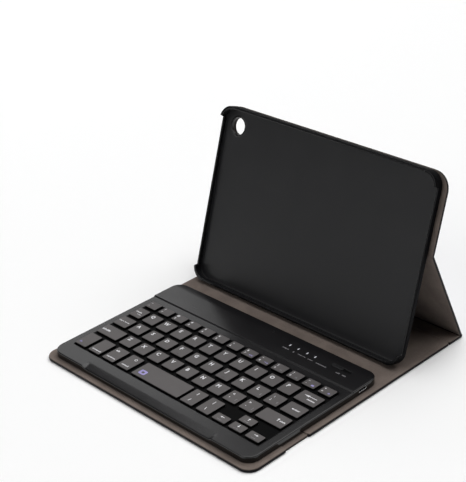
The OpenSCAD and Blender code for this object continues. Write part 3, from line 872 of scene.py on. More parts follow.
@dataclass(frozen=True)
class Section:
    """Side of a panel seen end on: inset from its outline against height."""

    split: float = SPLIT
    top: float = PANEL_T
    outer: float = 0.05
    roll: float = 0.9
    cut: float = 0.2
    soft: float = 0.28

    def leather(self) -> Array:
        """Outer face, rolled edge and side up to the lining, as rows of (inset, z, edge mark)."""
        a = np.linspace(0.0, math.pi / 2, 6)
        inset = self.roll * (1 - np.sin(a))
        z = self.outer + self.roll * (1 - np.cos(a))
        # From the roll's second ring the near-black edge colour takes over: partly edge paint,
        # partly painted shade.
        mark = np.array([0.0, 0.35, 0.8, 0.95, 1.0, 1.0])
        z_end = self.split
        end = [(0.0, z_end - 0.2, 0.9), (0.08, z_end - 0.06, 1.0), (0.35, z_end, 1.0)]
        return np.concatenate([np.stack([inset, z, mark], axis=-1), end])

    def lining(self) -> Array:
        """Lining from its underside round its cut edge to its face, as rows of (inset, z, mark)."""
        a = np.linspace(0.0, math.pi / 2, 5)
        start = [(0.5, self.split, 1.0), (0.24, self.split + 0.03, 1.0)]
        start += [(self.cut, self.split + 0.1, 0.95)]
        inset = self.cut + self.soft * (1 - np.cos(a))
        z = self.top - self.soft * (1 - np.sin(a))
        return np.concatenate([start, np.stack([inset, z, np.linspace(0.8, 0.0, 5)], axis=-1)])


PANEL_SIDE = Section()
STRIP_SIDE = Section(STRIP_SPLIT, STRIP_TOP, 0.05, 0.3)
# A pressed line round a board: how far out from the board, how deep, and its edge mark.
PRESSED_LINE = (
    (1.2, 0.0, 0.15), (0.98, 0.09, 0.6), (0.7, 0.22, 1.0), (0.45, 0.23, 1.0),
    (0.15, 0.1, 0.5), (-0.1, 0.02, 0.1), (-0.5, -0.03, 0.0),
)
# Share of the pressed line that shows through the lining.
LINING_SHARE = 0.3


@dataclass(frozen=True)
class Board:
    """Outline of a stiffening board, which shows through as a raised field."""

    y0: float
    y1: float
    r0: float
    r1: float
    half: float = CASE_HALF - 4.0

    def loop(self, out: float) -> Array:
        """The outline moved outwards."""
        r0, r1 = self.r0 + out, self.r1 + out
        return rounded_loop(self.half + out, self.y0 - out, self.y1 + out, r0, r1)


@dataclass
class Panel:
    """One panel of the folio: a leather shell and a lining shell with rolled, cut edges."""

    name: str
    body: str
    y0: float
    y1: float
    r0: float = 0.0
    r1: float = 0.0
    free: tuple[bool, bool] = (False, False)
    half: float = CASE_HALF
    side: Section = PANEL_SIDE
    board: Board | None = None
    place: Placement = FLAT
    hole: bool = False

    def loop(self, inset: float) -> Array:
        """The panel's outline moved inwards, except at the ends that run on into a fold."""
        d0, d1 = (inset if f else 0.0 for f in self.free)
        r0, r1 = self.r0 - inset, self.r1 - inset
        return rounded_loop(self.half - inset, self.y0 + d0, self.y1 - d1, r0, r1)

    def shell(self, rows: Array, face_z: float, sign: float) -> Shell:
        """One layer of the panel.

        Args:
            rows: The layer's side, as rows of (inset, z, mark) that end or start at its face.
            face_z: Height of its face beside the board.
            sign: -1 if the face looks to the outside of the case, 1 if it is the lining.

        Returns:
            The closed shell.
        """
        made = Shell()
        made.loft(np.stack([lift(self.loop(inset), z) for inset, z, _ in rows]), rows[:, 2])
        face, hidden = (0, -1) if sign < 0 else (-1, 0)
        last, z_last = self.loop(rows[face][0]), rows[face][1]
        if self.board:
            share = 1.0 if sign < 0 else LINING_SHARE
            rings, marks = [lift(last, z_last)], [0.0]
            for out, depth, mark in PRESSED_LINE:
                last, z_last = self.board.loop(out), face_z - sign * depth * share
                rings.append(lift(last, z_last))
                marks.append(mark * share)
            made.loft(np.stack(rings), marks)
        under, z_under = self.loop(rows[hidden][0]), rows[hidden][1]
        if not self.hole:
            made.cap(lift(last, z_last))
            made.cap(lift(under, z_under), 1.0)
            return made
        x, y, r = CAMERA_X, CAMERA_Y, CAMERA_R
        lip = [(r + 0.5, z_last), (r + 0.15, z_last - sign * 0.12)]
        lip += [(r, z_last - sign * 0.4), (r, z_under)]
        made.fill([last, circle(x, y, lip[0][0])], flat_at(z_last))
        made.loft(round_rings(x, y, lip), [0.1, 0.7, 1.0, 1.0])
        made.fill([under, circle(x, y, r)], flat_at(z_under), mark=1.0)
        return made

    def build(self) -> None:
        """Makes the leather and the lining of the panel."""
        leather = self.shell(self.side.leather(), self.side.outer, -1.0)
        lining = self.shell(self.side.lining(), self.side.top - 0.03, 1.0)
        for made, layer, look, node in (
            (leather, "leather", "navy_leather", "skin"),
            (lining, "microfibre", "taupe_lining", "lining"),
        ):
            nodes = [f"{self.name}_{node}"]
            hand_over(made, f"{self.name}_{layer}", look, self.body, nodes, place=self.place)


@dataclass
class Fold:
    """The bend between two panels, where leather and lining run on round it.

    It dips by `dip` in the middle of its leather and its lining, and swells round its outer side.
    """

    name: str
    bodies: tuple[str, str]
    y: float
    reach: tuple[float, float]
    halves: tuple[float, float]
    sides: tuple[Section, Section] = (PANEL_SIDE, PANEL_SIDE)
    base: Placement = FLAT
    axis_z: float = 0.0
    turn: float = 0.0
    dip: tuple[float, float] = (0.22, 0.28)
    swell: float = 0.0
    grip: float = 0.0
    steps: int = 12

    def stations(self) -> tuple[Array, Array, Array]:
        """Where the bend is cut: (place along the flat folio, degrees turned, share of the way)."""
        before = np.linspace(-self.reach[0], 0.0, self.steps // 2 + 1)
        after = np.linspace(0.0, self.reach[1], self.steps // 2 + 1)
        if self.turn:
            arc = np.linspace(0.0, self.turn, self.steps + 1)[1:-1]
            along = np.concatenate([before, np.zeros(len(arc)), after])
            turned = np.concatenate([before * 0, arc, after * 0 + self.turn])
        else:
            along = np.concatenate([before, after[1:]])
            turned = along * 0
        return self.y + along, turned, np.linspace(0.0, 1.0, len(along))

    def band(self, kind: str) -> Shell:
        """Carries the section of one layer through the bend.

        Args:
            kind: "leather" or "lining", a method of Section.

        Returns:
            The closed shell: rings of (+-(half - inset), y, z) at each station.
        """
        first, last = (getattr(s, kind)() for s in self.sides)
        along, turned, share = self.stations()
        ease = smooth(share)[:, None]
        rows = first[None, :, :2] * (1 - ease[..., None]) + last[None, :, :2] * ease[..., None]
        half = self.halves[0] + (self.halves[1] - self.halves[0]) * ease
        inset, z = rows[..., 0], rows[..., 1]
        split = self.sides[0].split + (self.sides[1].split - self.sides[0].split) * ease
        hollow = (np.sin(math.pi * share) ** 2)[:, None]
        if kind == "leather":
            bend = (np.sin(math.pi * turned / (self.turn or 1.0)) ** 2)[:, None]
            z = split - (split - z) * (1 - (hollow * self.dip[0] - bend * self.swell) / split)
        else:
            top = z.max(axis=1, keepdims=True)
            z = split + (z - split) * (1 - hollow * self.dip[1] / (top - split))
        x = np.concatenate([half - inset, (inset - half)[:, ::-1]], axis=1)
        z = np.concatenate([z, z[:, ::-1]], axis=1)
        y = np.broadcast_to(along[:, None], x.shape)
        rings = np.stack(
            [
                self.base.hinged(self.y, self.axis_z, t).apply(ring)
                for t, ring in zip(turned, np.stack([x, y, z], axis=-1))
            ]
        )
        rings[..., 2] = np.maximum(rings[..., 2], LOWEST)
        marks = np.concatenate([first[:, 2], first[::-1, 2]])
        made = Shell()
        made.solid(rings, np.maximum(marks[None, :], 0.35 * hollow))
        return made

    def build(self) -> None:
        """Makes both layers and blends them across the joint."""
        half, far = (self.base.hinged(self.y, self.axis_z, t) for t in (self.turn / 2, self.turn))
        ends = ((self.base, -self.reach[0], PANEL_T / 2), (far, self.reach[1], PANEL_T / 2))
        if self.grip:
            ends = ((half, -self.grip, self.axis_z), (half, self.grip, self.axis_z))
        start, end = (
            place.apply(np.array([0.0, self.y + along, z])) * MM for place, along, z in ends
        )
        for layer, look in (("leather", "navy_leather"), ("lining", "taupe_lining")):
            piece = self.band(layer).mesh(f"{self.name}_fold_{layer}")
            piece.data.materials.append(finish(look))
            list(self.bodies)
            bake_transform(piece)
            LOG.info("%s bends between %s and %s", piece.name, *self.bodies)


@dataclass
class Folio:
    """All the panels and folds, from the closure flap to the upper back."""

    near: float = 0.5
    margin: float = 4.0
    fold_inset: float = 1.5

    def panels(self) -> list[Panel]:
        """The panels, laid out flat and placed."""
        n, m = self.near, self.margin
        return [
            Panel("flap", "flap", Y_FRONT, Y_FLAP - n, 9.0, 1.5, (True, False),
                  board=Board(Y_FRONT + m, Y_FLAP - 1.75, 5.5, 1.5)),
            Panel("strip", "strip", Y_FLAP + n, Y_STRIP - n, half=STRIP_HALF, side=STRIP_SIDE),
            Panel("cover", "front_cover", Y_STRIP + n, Y_COVER - n, 1.5, 1.5,
                  board=Board(Y_STRIP + 1.75, Y_COVER - 1.85, 8.0, 8.0)),
            Panel("spine", "spine", Y_COVER + n, Y_FOLD - n,
                  board=Board(Y_COVER + 1.95, Y_FOLD - 1.8, 1.2, 1.2)),
            Panel("leg", "leg", Y_FOLD + 2.0, Y_CREASE - 0.6, place=LEG,
                  board=Board(Y_FOLD + 5.0, Y_CREASE - 2.2, 3.0, 3.0)),
            Panel("back", "back", Y_CREASE + 2.5, Y_END, 0.0, 13.0, (False, True), place=BACK,
                  board=Board(Y_CREASE + 6.8, Y_END - m, 3.0, 8.0), hole=True),
        ]

    def folds(self) -> list[Fold]:
        """The folds between them."""
        n, end = self.near, CASE_HALF - self.fold_inset
        both = (PANEL_SIDE, STRIP_SIDE)
        whole = (CASE_HALF, CASE_HALF)
        return [
            Fold("flap", ("strip", "flap"), Y_FLAP, (n, n), (end, STRIP_HALF), both),
            Fold("strip", ("front_cover", "strip"), Y_STRIP, (n, n), (STRIP_HALF, end), both[::-1]),
            Fold("spine", ("front_cover", "spine"), Y_COVER, (n, n), (end, end + 1.0)),
            Fold("rear", ("spine", "leg"), Y_FOLD, (n, 2.0), whole, axis_z=PANEL_T,
                 turn=LEG_TURN, dip=(0.0, 0.75), swell=1.3, grip=0.3, steps=16),
            Fold("crease", ("leg", "back"), Y_CREASE, (0.6, 2.5), whole, base=LEG,
                 turn=CREASE_TURN, dip=(0.35, 0.28), steps=16),
        ]

    def build(self) -> None:
        """Makes every panel, then every fold."""
        for piece in (*self.panels(), *self.folds()):
            piece.build()


# --------------------------------------------------------------------------------------------------
# Tablet tray
# --------------------------------------------------------------------------------------------------


@dataclass
class TabletTray:
    """Hard shell that clips round the tablet, lower at its sides, with lips at its corners.

    Its side is a row of (inset, height) steps carried round the outline. The side is cut down by
    `side_cut` beyond `side_reach` from the ends, and hooks over by `hook` near the corners.
    """

    half: float = 103.5
    y0: float = Y_CREASE - 81.365
    length: float = 138.6
    radius: float = 11.4
    wall: float = 1.7
    floor: float = 1.5
    rim: float = 7.6
    side_cut: float = 2.9
    lip: float = 0.6
    hook: float = 0.5
    z: float = 2.9
    lip_reach: float = 12.4
    side_reach: float = 9.0
    slope: float = 1.2
    low_end: float = 6.0

    def loop(self, inset: Array | float) -> Array:
        """The outline moved inwards by one distance, or by one for each point."""
        lip = self.half - self.lip_reach
        xs = np.array([-lip - 0.5, -lip + 0.5, -45.0, 0.0, 45.0, lip - 0.5, lip + 0.5])
        ys = self.y0 + np.linspace(20.0, self.length - 20.0, 5)
        y1 = self.y0 + self.length

        def outline(d: float) -> Array:
            """The outline moved inwards by d."""
            r = self.radius - d
            return rounded_loop(self.half - d, self.y0 + d, y1 - d, r, r, xs, ys, 36)

        outer, inner = outline(0.0), outline(4.0)
        share = np.broadcast_to(np.asarray(inset, float) / 4.0, (len(outer),))[:, None]
        return outer + (inner - outer) * share

    def build(self) -> None:
        """Makes the tray: its side is carried round its outline with changing height and lip."""
        outline = self.loop(0.0)
        from_end = np.minimum(outline[:, 1] - self.y0, self.y0 + self.length - outline[:, 1])
        from_side = self.half - np.abs(outline[:, 0])
        low = smooth((from_end - self.side_reach) / self.slope) * (from_side < 1.0)
        corner = smooth((self.lip_reach - np.maximum(from_end, from_side)) / 0.8 + 0.5) * (1 - low)
        top = self.rim - self.side_cut * low + self.lip * corner
        at_low_end = smooth((self.y0 + self.low_end - outline[:, 1]) / self.low_end)
        c = 1.15 - 0.55 * at_low_end
        w, f, hook = self.wall, self.floor, self.hook * corner
        under = top - self.lip * corner
        # Rows of (inset, height, edge mark); the outer wall's rows carry the painted-shade mark:
        # black, without glare.
        side = [
            (c * 1.25, 0.0, 0.0), (c * 0.85, c * 0.08, 0.3), (c * 0.35, c * 0.42, 0.8),
            (c * 0.08, c * 0.85, PAINTED_SHADE), (0.0, c * 1.25, PAINTED_SHADE), (0.0, top - 0.45, PAINTED_SHADE),
            (0.07, top - 0.16, PAINTED_SHADE), (0.22, top - 0.03, PAINTED_SHADE), (0.42, top, 1.0),
            (w - 0.4 + hook, top, 1.0), (w - 0.15 + hook, top - 0.05, 1.0),
            (w + hook, top - 0.22, 1.0), (w + hook * 0.9, under - 0.02 - 0.2 * (1 - corner), 0.9),
            (w, under - 0.3, 0.6), (w, f + 0.7, 0.3), (w + 0.18, f + 0.18, 0.1), (w + 0.7, f, 0.0),
        ]
        rings = np.stack([lift(self.loop(inset), self.z + z) for inset, z, _ in side])
        made = Shell()
        made.loft(rings, [mark for _, _, mark in side])
        x, y, r = CAMERA_X - TRAY_X, CAMERA_Y, CAMERA_R
        made.fill([rings[0][:, :2], circle(x, y, r)], flat_at(self.z))
        inner = self.z + self.floor
        raised = inner + 0.3
        hole = [(r, self.z), (r, inner - 0.3), (r + 0.12, inner + 0.12), (r + 0.5, raised),
                (r + 1.1, raised), (r + 1.5, inner + 0.12), (r + 1.7, inner)]
        made.loft(round_rings(x, y, hole), [0, 0.5, 1, 1, 1, 0.6, 0])
        made.fill([rings[-1][:, :2], circle(x, y, r + 1.7)], flat_at(inner))
        for points in made.points:
            points[:, 0] += TRAY_X
        hand_over(made, "snap_in_tray", "tray_plastic", "back", ["tablet_tray"], place=BACK)


# --------------------------------------------------------------------------------------------------
# Keyboard
# --------------------------------------------------------------------------------------------------

KEY_W = 12.1
# Rows of keys: middle from the keyboard's front edge, and depth.
ROW_NUMBER, ROW_UPPER, ROW_HOME = (86.5, 8.4), (72.5, KEY_W), (57.0, KEY_W)
ROW_LOWER, ROW_SPACE, ROW_UP, ROW_DOWN = (41.5, KEY_W), (23.75, 16.6), (28.4, 7.3), (19.1, 7.3)


def even(start: float, pitch: float, count: int, width: float = KEY_W) -> list:
    """Keys at an even pitch, as (centre, width)."""
    return [(start + pitch * i, width) for i in range(count)]


class Ink(Enum):
    """Colours of the printed legends."""

    WHITE = "white_ink"
    LILAC = "lilac_ink"
    GREY = "grey_ink"


@dataclass(frozen=True)
class Mark:
    """One printed mark on a key: its text or glyph, place from the key's centre, and size."""

    text: str
    x: float
    y: float
    size: float
    width: float = 0.0
    ink: Ink = Ink.WHITE


def letters(text: str) -> list[list[Mark]]:
    """One capital near the upper left of each key."""
    return [[Mark(c, -2.2, 2.2, 3.2)] for c in text]


def grey(text: str, x: float, y: float, size: float, width: float = 0.0) -> Mark:
    """A mark in grey ink."""
    return Mark(text, x, y, size, width, Ink.GREY)


def pairs(text: str, x: float = -2.6, dy: float = 2.0, size: float = 2.1) -> list[list[Mark]]:
    """Two marks on each key, one over the other; text holds them as upper, lower."""
    return [
        [Mark(upper, x, dy, size), Mark(lower, x, -dy, size)]
        for upper, lower in zip(text[::2], text[1::2])
    ]


def number_marks() -> list[list[Mark]]:
    """Legends of the thirteen number keys; the last six have a second mark."""
    shown = pairs("~`!1@2#3$4%5^6&7*8(9)0_-+=", -3.2, 1.75, 1.75)
    media = ((7, "<<", 3.4), (8, ">|", 3.4), (11, "-", 2.4), (12, "+", 2.2))
    for i, text, width in media:
        shown[i].append(Mark(text, 2.6, -1.7, 1.5, width, Ink.LILAC))
    for i, text in ((9, ">>"), (10, "x")):
        shown[i].append(grey(text, 2.4, -1.8, 1.2, 2.0))
    return shown


@dataclass(frozen=True)
class KeyGroup:
    """Keys of one row that share a moulding: (centre, width) of each, and their legends."""

    node: str
    row: tuple[float, float]
    keys: list[tuple[float, float]]
    marks: list[list[Mark]]
    bump: int = -1


def single(name: str, row: tuple[float, float], x: float, width: float, *marks: Mark) -> KeyGroup:
    """A key that moves on its own."""
    return KeyGroup(f"key_{name}", row, [(x, width)], [list(marks)])


def key_groups() -> list[KeyGroup]:
    """Every group of keys, row by row."""
    numbers = even(-87.9, 14.65, 13, 11.2)
    digit = number_marks()
    upper, home, lower = (letters(t) for t in ("QWERTYUIOP", "ASDFGHJKL", "ZXCVBNM"))
    home[8].append(grey("'", 3.6, -2.2, 2.2, 0.7))
    colon = [Mark(":", -2.6, 2.2, 2.2), Mark(";", -2.6, -1.9, 2.4), grey('"', 3.6, -2.2, 2.0, 0.9)]
    comma, point = (
        [Mark(a, -2.6, 2.3, 2.2), Mark(b, -2.6, -2.2, 2.6), grey(c, 3.4, -2.0, 2.4, 0.8)]
        for a, b, c in ("<,[", ">.]")
    )
    second, third = even(-72.9, 15.4, 10), even(-70.4, 15.4, 10)
    fourth = even(-62.4, 15.4, 9)
    return [
        KeyGroup("keys_number_left", ROW_NUMBER, numbers[:5], digit[:5]),
        KeyGroup("keys_number_middle", ROW_NUMBER, numbers[5:9], digit[5:9]),
        KeyGroup("keys_number_right", ROW_NUMBER, numbers[9:], digit[9:]),
        single("tab", ROW_UPPER, -87.875, 11.25,
               Mark("tab", -1.2, 0.7, 1.5, 6.4), Mark("right", 1.6, -2.0, 0.9, 4.4)),
        KeyGroup("keys_upper_left", ROW_UPPER, second[:5], upper[:5]),
        KeyGroup("keys_upper_right", ROW_UPPER, second[5:], upper[5:]),
        single("backspace", ROW_UPPER, 84.275, 18.45,
               Mark("left", 0.0, 1.6, 1.9, 11.0), Mark("delete", 2.9, -1.5, 1.5, 7.0)),
        single("caps", ROW_HOME, -86.625, 13.75, Mark("caps lock", -0.4, 0.0, 1.5, 11.2)),
        KeyGroup("keys_home_left", ROW_HOME, third[:5], home[:5], 3),
        KeyGroup("keys_home_right", ROW_HOME, third[5:], [*home[5:], colon], 1),
        single("enter", ROW_HOME, 85.525, 15.95, Mark("enter", 1.6, -0.1, 1.5, 7.0)),
        single("shift_left", ROW_LOWER, -82.625, 21.75, Mark("shift", -5.6, -0.3, 2.0, 8.6)),
        KeyGroup("keys_lower_left", ROW_LOWER, fourth[:4], lower[:4]),
        KeyGroup("keys_lower_right", ROW_LOWER, fourth[4:], [*lower[4:], comma, point]),
        single("shift_right", ROW_LOWER, 81.825, 23.35,
               Mark("up", 4.0, 0.3, 3.0, 2.3), Mark("shift", 8.0, 0.0, 1.5, 4.8)),
        single("fn", ROW_SPACE, -87.625, 11.75, Mark("fn", -2.6, -4.6, 1.7, 2.2, Ink.LILAC)),
        single("control", ROW_SPACE, -72.4, KEY_W, Mark("control", 0.3, -5.2, 1.4, 8.8)),
        single("option", ROW_SPACE, -56.7, KEY_W,
               Mark("alt", -2.2, 4.0, 1.8, 3.6), Mark("option", 0.0, -4.8, 1.6, 8.8)),
        single("command", ROW_SPACE, -41.0, KEY_W,
               Mark("ring", 1.3, 4.2, 2.4, 2.4), Mark("cmd", 0.0, -4.8, 1.6, 6.6)),
        single("space", ROW_SPACE, -7.2, 47.6, Mark("frame", -17.0, -2.7, 5.0, 6.2, Ink.LILAC)),
        KeyGroup("keys_slash", ROW_SPACE, [(25.1, KEY_W), (40.8, KEY_W)],
                 pairs("?/|\\", -0.4, 4.0, 2.6)),
        single("left", ROW_DOWN, 56.2, KEY_W,
               Mark("left", 0.0, 1.1, 1.8, 3.4), grey("home", 0.0, -1.9, 1.1, 4.0)),
        single("up", ROW_UP, 71.6, KEY_W,
               Mark("up", 0.0, 1.0, 2.6, 2.0), grey("pg up", 0.0, -2.1, 1.1, 4.0)),
        single("down", ROW_DOWN, 71.6, KEY_W,
               Mark("down", 0.0, 1.0, 2.6, 2.0), grey("pg dn", 0.0, -2.1, 1.1, 4.0)),
        single("right", ROW_DOWN, 87.225, 12.55,
               Mark("right", 0.0, 1.1, 1.8, 3.4), grey("end", 0.0, -1.9, 1.1, 3.2)),
    ]


class Glyphs:
    """Builds thin printed marks: words from the built-in typeface, arrows and frames drawn."""

    turns = {"right": 0.0, "up": 90.0, "left": 180.0, "down": 270.0}
    stroke = 0.03
    capital = 0.729
    sunk, proud = 0.02, 0.012

    def __init__(self) -> None:
        """Starts with an empty store of finished shapes."""
        self.store: dict[str, tuple[Array, list[list[int]]]] = {}

    @staticmethod
    def arrow(turn: float) -> list[Array]:
        """An arrow of unit length pointing to +x, then turned by that many degrees."""
        half = np.array([[-0.5, 0.07], [0.1, 0.07], [0.1, 0.26], [0.5, 0.0]])
        shape = np.concatenate([half, half[-2::-1] * [1.0, -1.0]])
        c, s = math.cos(math.radians(turn)), math.sin(math.radians(turn))
        return [shape @ np.array([[c, s], [-s, c]])]

    def outline(self, text: str) -> list[Array] | None:
        """The loops of a drawn glyph, or None for lettering."""
        if text in self.turns:
            return self.arrow(self.turns[text])
        if text == "ring":
            return [circle(0.0, 0.0, r, 24) for r in (0.5, 0.33)]
        if text == "frame":
            return [rounded_loop(h, -h, h, r, r, steps=4) for h, r in ((0.5, 0.22), (0.2, 0.12))]
        return None

    def lettering(self, text: str) -> tuple[Array, list[list[int]]]:
        """A word's flat faces from the built-in typeface.

        Args:
            text: The word.

        Returns:
            Points (n, 2) and faces.
        """
        curve = bpy.data.curves.new("legend_text", "FONT")
        curve.body = text
        curve.size = 1.0
        curve.resolution_u = 2
        curve.offset = self.stroke
        holder = link("legend_text", curve)
        graph = bpy.context.evaluated_depsgraph_get()
        data = bpy.data.meshes.new_from_object(holder.evaluated_get(graph))
        points = np.zeros(len(data.vertices) * 3, np.float32)
        data.vertices.foreach_get("co", points)
        faces = [list(p.vertices) for p in data.polygons]
        bpy.data.objects.remove(holder)
        bpy.data.curves.remove(curve)
        bpy.data.meshes.remove(data)
        return points.reshape(-1, 3)[:, :2].astype(float), faces

    def shape(self, text: str) -> tuple[Array, list[list[int]]]:
        """A mark's flat shape, centred on its box, one unit high and as wide as it is drawn."""
        if text not in self.store:
            loops = self.outline(text)
            if loops is None:
                points, faces = self.lettering(text)
            else:
                flat = Shell()
                flat.fill(loops, flat_at(0.0))
                points, faces = flat.points[0][:, :2], flat.faces
            low, high = points.min(axis=0), points.max(axis=0)
            self.store[text] = (points - (low + high) / 2, faces)
        return self.store[text]

    def place(self, shell: Shell, mark: Mark, x: float, y: float, z: float) -> None:
        """Adds a mark as a thin closed plate.

        Args:
            shell: Where it goes.
            mark: What it is.
            x: Centre of its key.
            y: Centre of its key.
            z: Height of the printed face.
        """
        flat, faces = self.shape(mark.text)
        span = flat.max(axis=0) - flat.min(axis=0)
        letter = len(mark.text) == 1 and not mark.width
        scale_y = mark.size / (self.capital if letter else span[1])
        scale_x = mark.width / span[0] if mark.width else scale_y
        points = flat * [scale_x, scale_y] + [x + mark.x, y + mark.y]
        n = len(points)
        both = np.concatenate([lift(points, z - self.sunk), lift(points, z + self.proud)])
        edges = dict.fromkeys((a, b) for f in faces for a, b in zip(f, f[1:] + f[:1]))
        rim = [[a, b, b + n, a + n] for a, b in edges if (b, a) not in edges]
        plates = [[i + n for i in f] for f in faces] + [f[::-1] for f in faces]
        shell.add(both, plates + rim)


GLYPHS = Glyphs()


@dataclass
class Keyboard:
    """The slim keyboard: top case, keys, legends, lights, switch, socket and feet.

    The top is flat at the keys (z1), steps up to the hump (hump_z) about hump_y, falls off at its
    far end and has a thumb scoop in front.
    """

    half: float = 100.75
    y0: float = -102.35
    y1: float = 22.65
    z0: float = 3.0
    z1: float = 7.65
    hump_z: float = 8.5
    hump_y: float = -4.35
    ridge: float = 0.55
    fall: float = 0.55
    fall_long: float = 8.0
    corner: float = 9.0
    edge_r: float = 0.7
    wall: float = 1.2
    rail: float = 2.0
    deck_t: float = 1.0
    plate_z: float = 4.0
    scoop_half: float = 65.0
    scoop_deep: float = 1.35
    scoop_long: float = 7.0
    scoop_soft: float = 1.6
    cap_top: float = 9.25
    cap_low: float = 6.6
    cap_wall: float = 1.1
    gap: float = 0.35
    lip: float = 0.18
    port_y: float = 4.65
    port_z: float = 6.05
    port_half: float = 3.9
    slot: tuple[float, float, float, float] = (76.2, 11.05, 8.8, 1.7)
    knob_x: float = 72.8
    lights: tuple[float, ...] = (28.4, 36.4, 44.9, 52.4)
    light_y: float = 10.65
    print_y: float = 5.65
    feet_at: tuple[tuple[float, float], ...] = (
        (-85.75, -93.35), (-85.75, 14.65), (85.75, -93.35), (85.75, 14.65)
    )
    groups: list[KeyGroup] = field(default_factory=key_groups)

    def height(self, points: Array) -> Array:
        """Height of the top.

        Args:
            points: Shape (n, 2).

        Returns:
            The heights.
        """
        x, y = points[:, 0], points[:, 1]
        step = smooth((y - self.hump_y + self.ridge) / (2 * self.ridge))
        z = self.z1 + (self.hump_z - self.z1) * step
        z -= self.fall * np.clip((y - self.y1 + self.fall_long) / self.fall_long, 0, 1) ** 1.6
        front = np.clip(1 - (y - self.y0) / self.scoop_long, 0, 1) ** 1.15
        ends = smooth((self.scoop_half + self.scoop_soft - np.abs(x)) / (2 * self.scoop_soft))
        return z - self.scoop_deep * front * ends

    def ridge_stops(self) -> Array:
        """Places across the step up to the hump."""
        return self.hump_y + np.linspace(-self.ridge, self.ridge, 7)

    def stops(self) -> tuple[Array, Array]:
        """Places along the front and the sides where the top's height bends."""
        curl = np.linspace(-self.scoop_soft, self.scoop_soft, 9)
        middle = np.linspace(-55, 55, 9)
        xs = np.concatenate([curl - self.scoop_half, middle, self.scoop_half + curl])
        side = [self.port_y - self.port_half, self.port_y + self.port_half]
        return xs, np.concatenate([[-80.0, -50.0, -20.0], self.ridge_stops(), side])

    def loop(self, inset: float) -> Array:
        """The keyboard's outline moved inwards."""
        xs, ys = self.stops()
        r = self.corner - inset
        return rounded_loop(self.half - inset, self.y0 + inset, self.y1 - inset, r, r, xs, ys, 10)

    def key_loops(self, group: KeyGroup, inset: float, steps: int = 4) -> list[Array]:
        """Outlines of a group's keys, moved inwards (or outwards if negative)."""
        y, long = self.y0 + group.row[0], group.row[1] / 2 - inset
        r = max(0.95 - inset, 0.1)
        return [
            rounded_loop(w / 2 - inset, -long, long, r, r, steps=steps) + [x, y]
            for x, w in group.keys
        ]

    def all_loops(self, out: float) -> list[Array]:
        """Outlines of all the keys, moved outwards."""
        return [loop for group in self.groups for loop in self.key_loops(group, -out)]

    def web(self, out: float) -> Array:
        """A box drawn `out` beyond the block of keys."""
        points = np.concatenate(self.all_loops(out))
        (x0, y0), (x1, y1) = points.min(axis=0), points.max(axis=0)
        xs, ys = np.linspace(-80, 80, 17), np.linspace(-80, -20, 7)
        return rounded_loop((x1 - x0) / 2, y0, y1, 1.5, 1.5, xs, ys, 4) + [(x0 + x1) / 2, 0.0]

    def top_case(self) -> Shell:
        """The top case: rounded rim, pierced deck, hollow underside, switch recess and port.

        Returns:
            The closed shell.
        """
        made = Shell()
        r = self.edge_r
        insets = r * (1 - np.sin(np.linspace(0.0, math.pi / 2, 6)))
        rim = [(d, r - math.sqrt(max(r * r - (r - d) ** 2, 0.0))) for d in insets]
        rounds = [lift(self.loop(d), self.height(self.loop(d)) - drop) for d, drop in rim]
        outline, rail = self.loop(0.0), self.loop(self.rail)
        shoulder, foot = rounds[-1][:, 2], self.z0 + 0.35
        wall = [lift(outline, shoulder + (foot - shoulder) * f) for f in (0.091, 0.7045, 1.0)]
        bottom = [lift(self.loop(0.1), self.z0 + 0.1), lift(self.loop(0.35), self.z0)]
        inner = [lift(self.loop(self.wall), z) for z in (self.z0, self.plate_z)]
        rise = self.height(rail) - self.deck_t - self.plate_z
        inner += [lift(rail, self.plate_z + rise * f) for f in (0.0, 0.2, 0.9714, 1.0)]
        rings = np.stack(rounds + wall + bottom + inner)
        marks = np.interp(np.arange(len(rings)), [0, 3, 5, 7, 10], [0.0, 0.7, 1.0, 1.0, 0.5])
        # The port: one face is left open in the outer wall and one in the inner, and joined.
        side = (outline[:, 0] > 0) & (np.abs(outline[:, 1] - self.port_y) < self.port_half + 0.01)
        both = side & np.roll(side, -1)
        skip = np.zeros((len(rings) - 1, len(outline)), bool)
        out, back = len(rounds), len(rounds) + len(wall) + len(bottom) + 3
        skip[[out, back]] = both
        made.loft(rings, marks, skip)
        a = int(np.nonzero(both)[0][0])
        b = a + 1
        mouth = [(out, a), (out, b), (out + 1, b), (out + 1, a)]
        throat = [(back + 1, a), (back + 1, b), (back, b), (back, a)]
        made.loft(np.stack([np.array([rings[i] for i in ring]) for ring in (mouth, throat)]), 1.0)
        self.deck(made, rounds[0][:, :2], rail)
        return made

    def deck(self, made: Shell, outer: Array, under: Array) -> None:
        """Adds the pierced deck, its underside, the walls of the key holes and the switch recess;
        the web between the keys and the holes' walls are painted shade.

        Args:
            made: The shell.
            outer: Outline of the deck's upper face.
            under: Outline of its lower face.
        """
        lips, holes = self.all_loops(self.gap + self.lip), self.all_loops(self.gap)
        cx, cy, hx, hy = self.slot
        z = self.hump_z
        floor = z - 0.7
        rows = [(-0.15, z), (-0.04, z - 0.05), (0.0, z - 0.15), (0.0, floor)]
        recess = bar_rings((hx, hy), hy - 0.05, (cx, cy), rows, 8)
        # Extra points, so that the faces follow the step, the far fall, the scoop and the web.
        extra, lines = [], []
        reach = self.half - self.edge_r - 6.0
        far = self.y1 - np.array([8.0, 6.5, 5.0, 3.5])
        for y in np.concatenate([self.ridge_stops(), far]):
            start = len(extra)
            extra += [[x, y] for x in np.linspace(-reach, reach, 24)]
            lines += [(i, i + 1) for i in range(start, len(extra) - 1)]
        xs = self.stops()[0]
        for y in self.y0 + np.array([1.3, 2.0, 2.8, 3.7, 4.8, 5.9, 7.0]):
            extra += [[x, y] for x in xs]
        for loop in (self.web(0.8), self.web(1.7)):
            start, n = len(extra), len(loop)
            extra += loop.tolist()
            lines += [(start + i, start + (i + 1) % n) for i in range(n)]
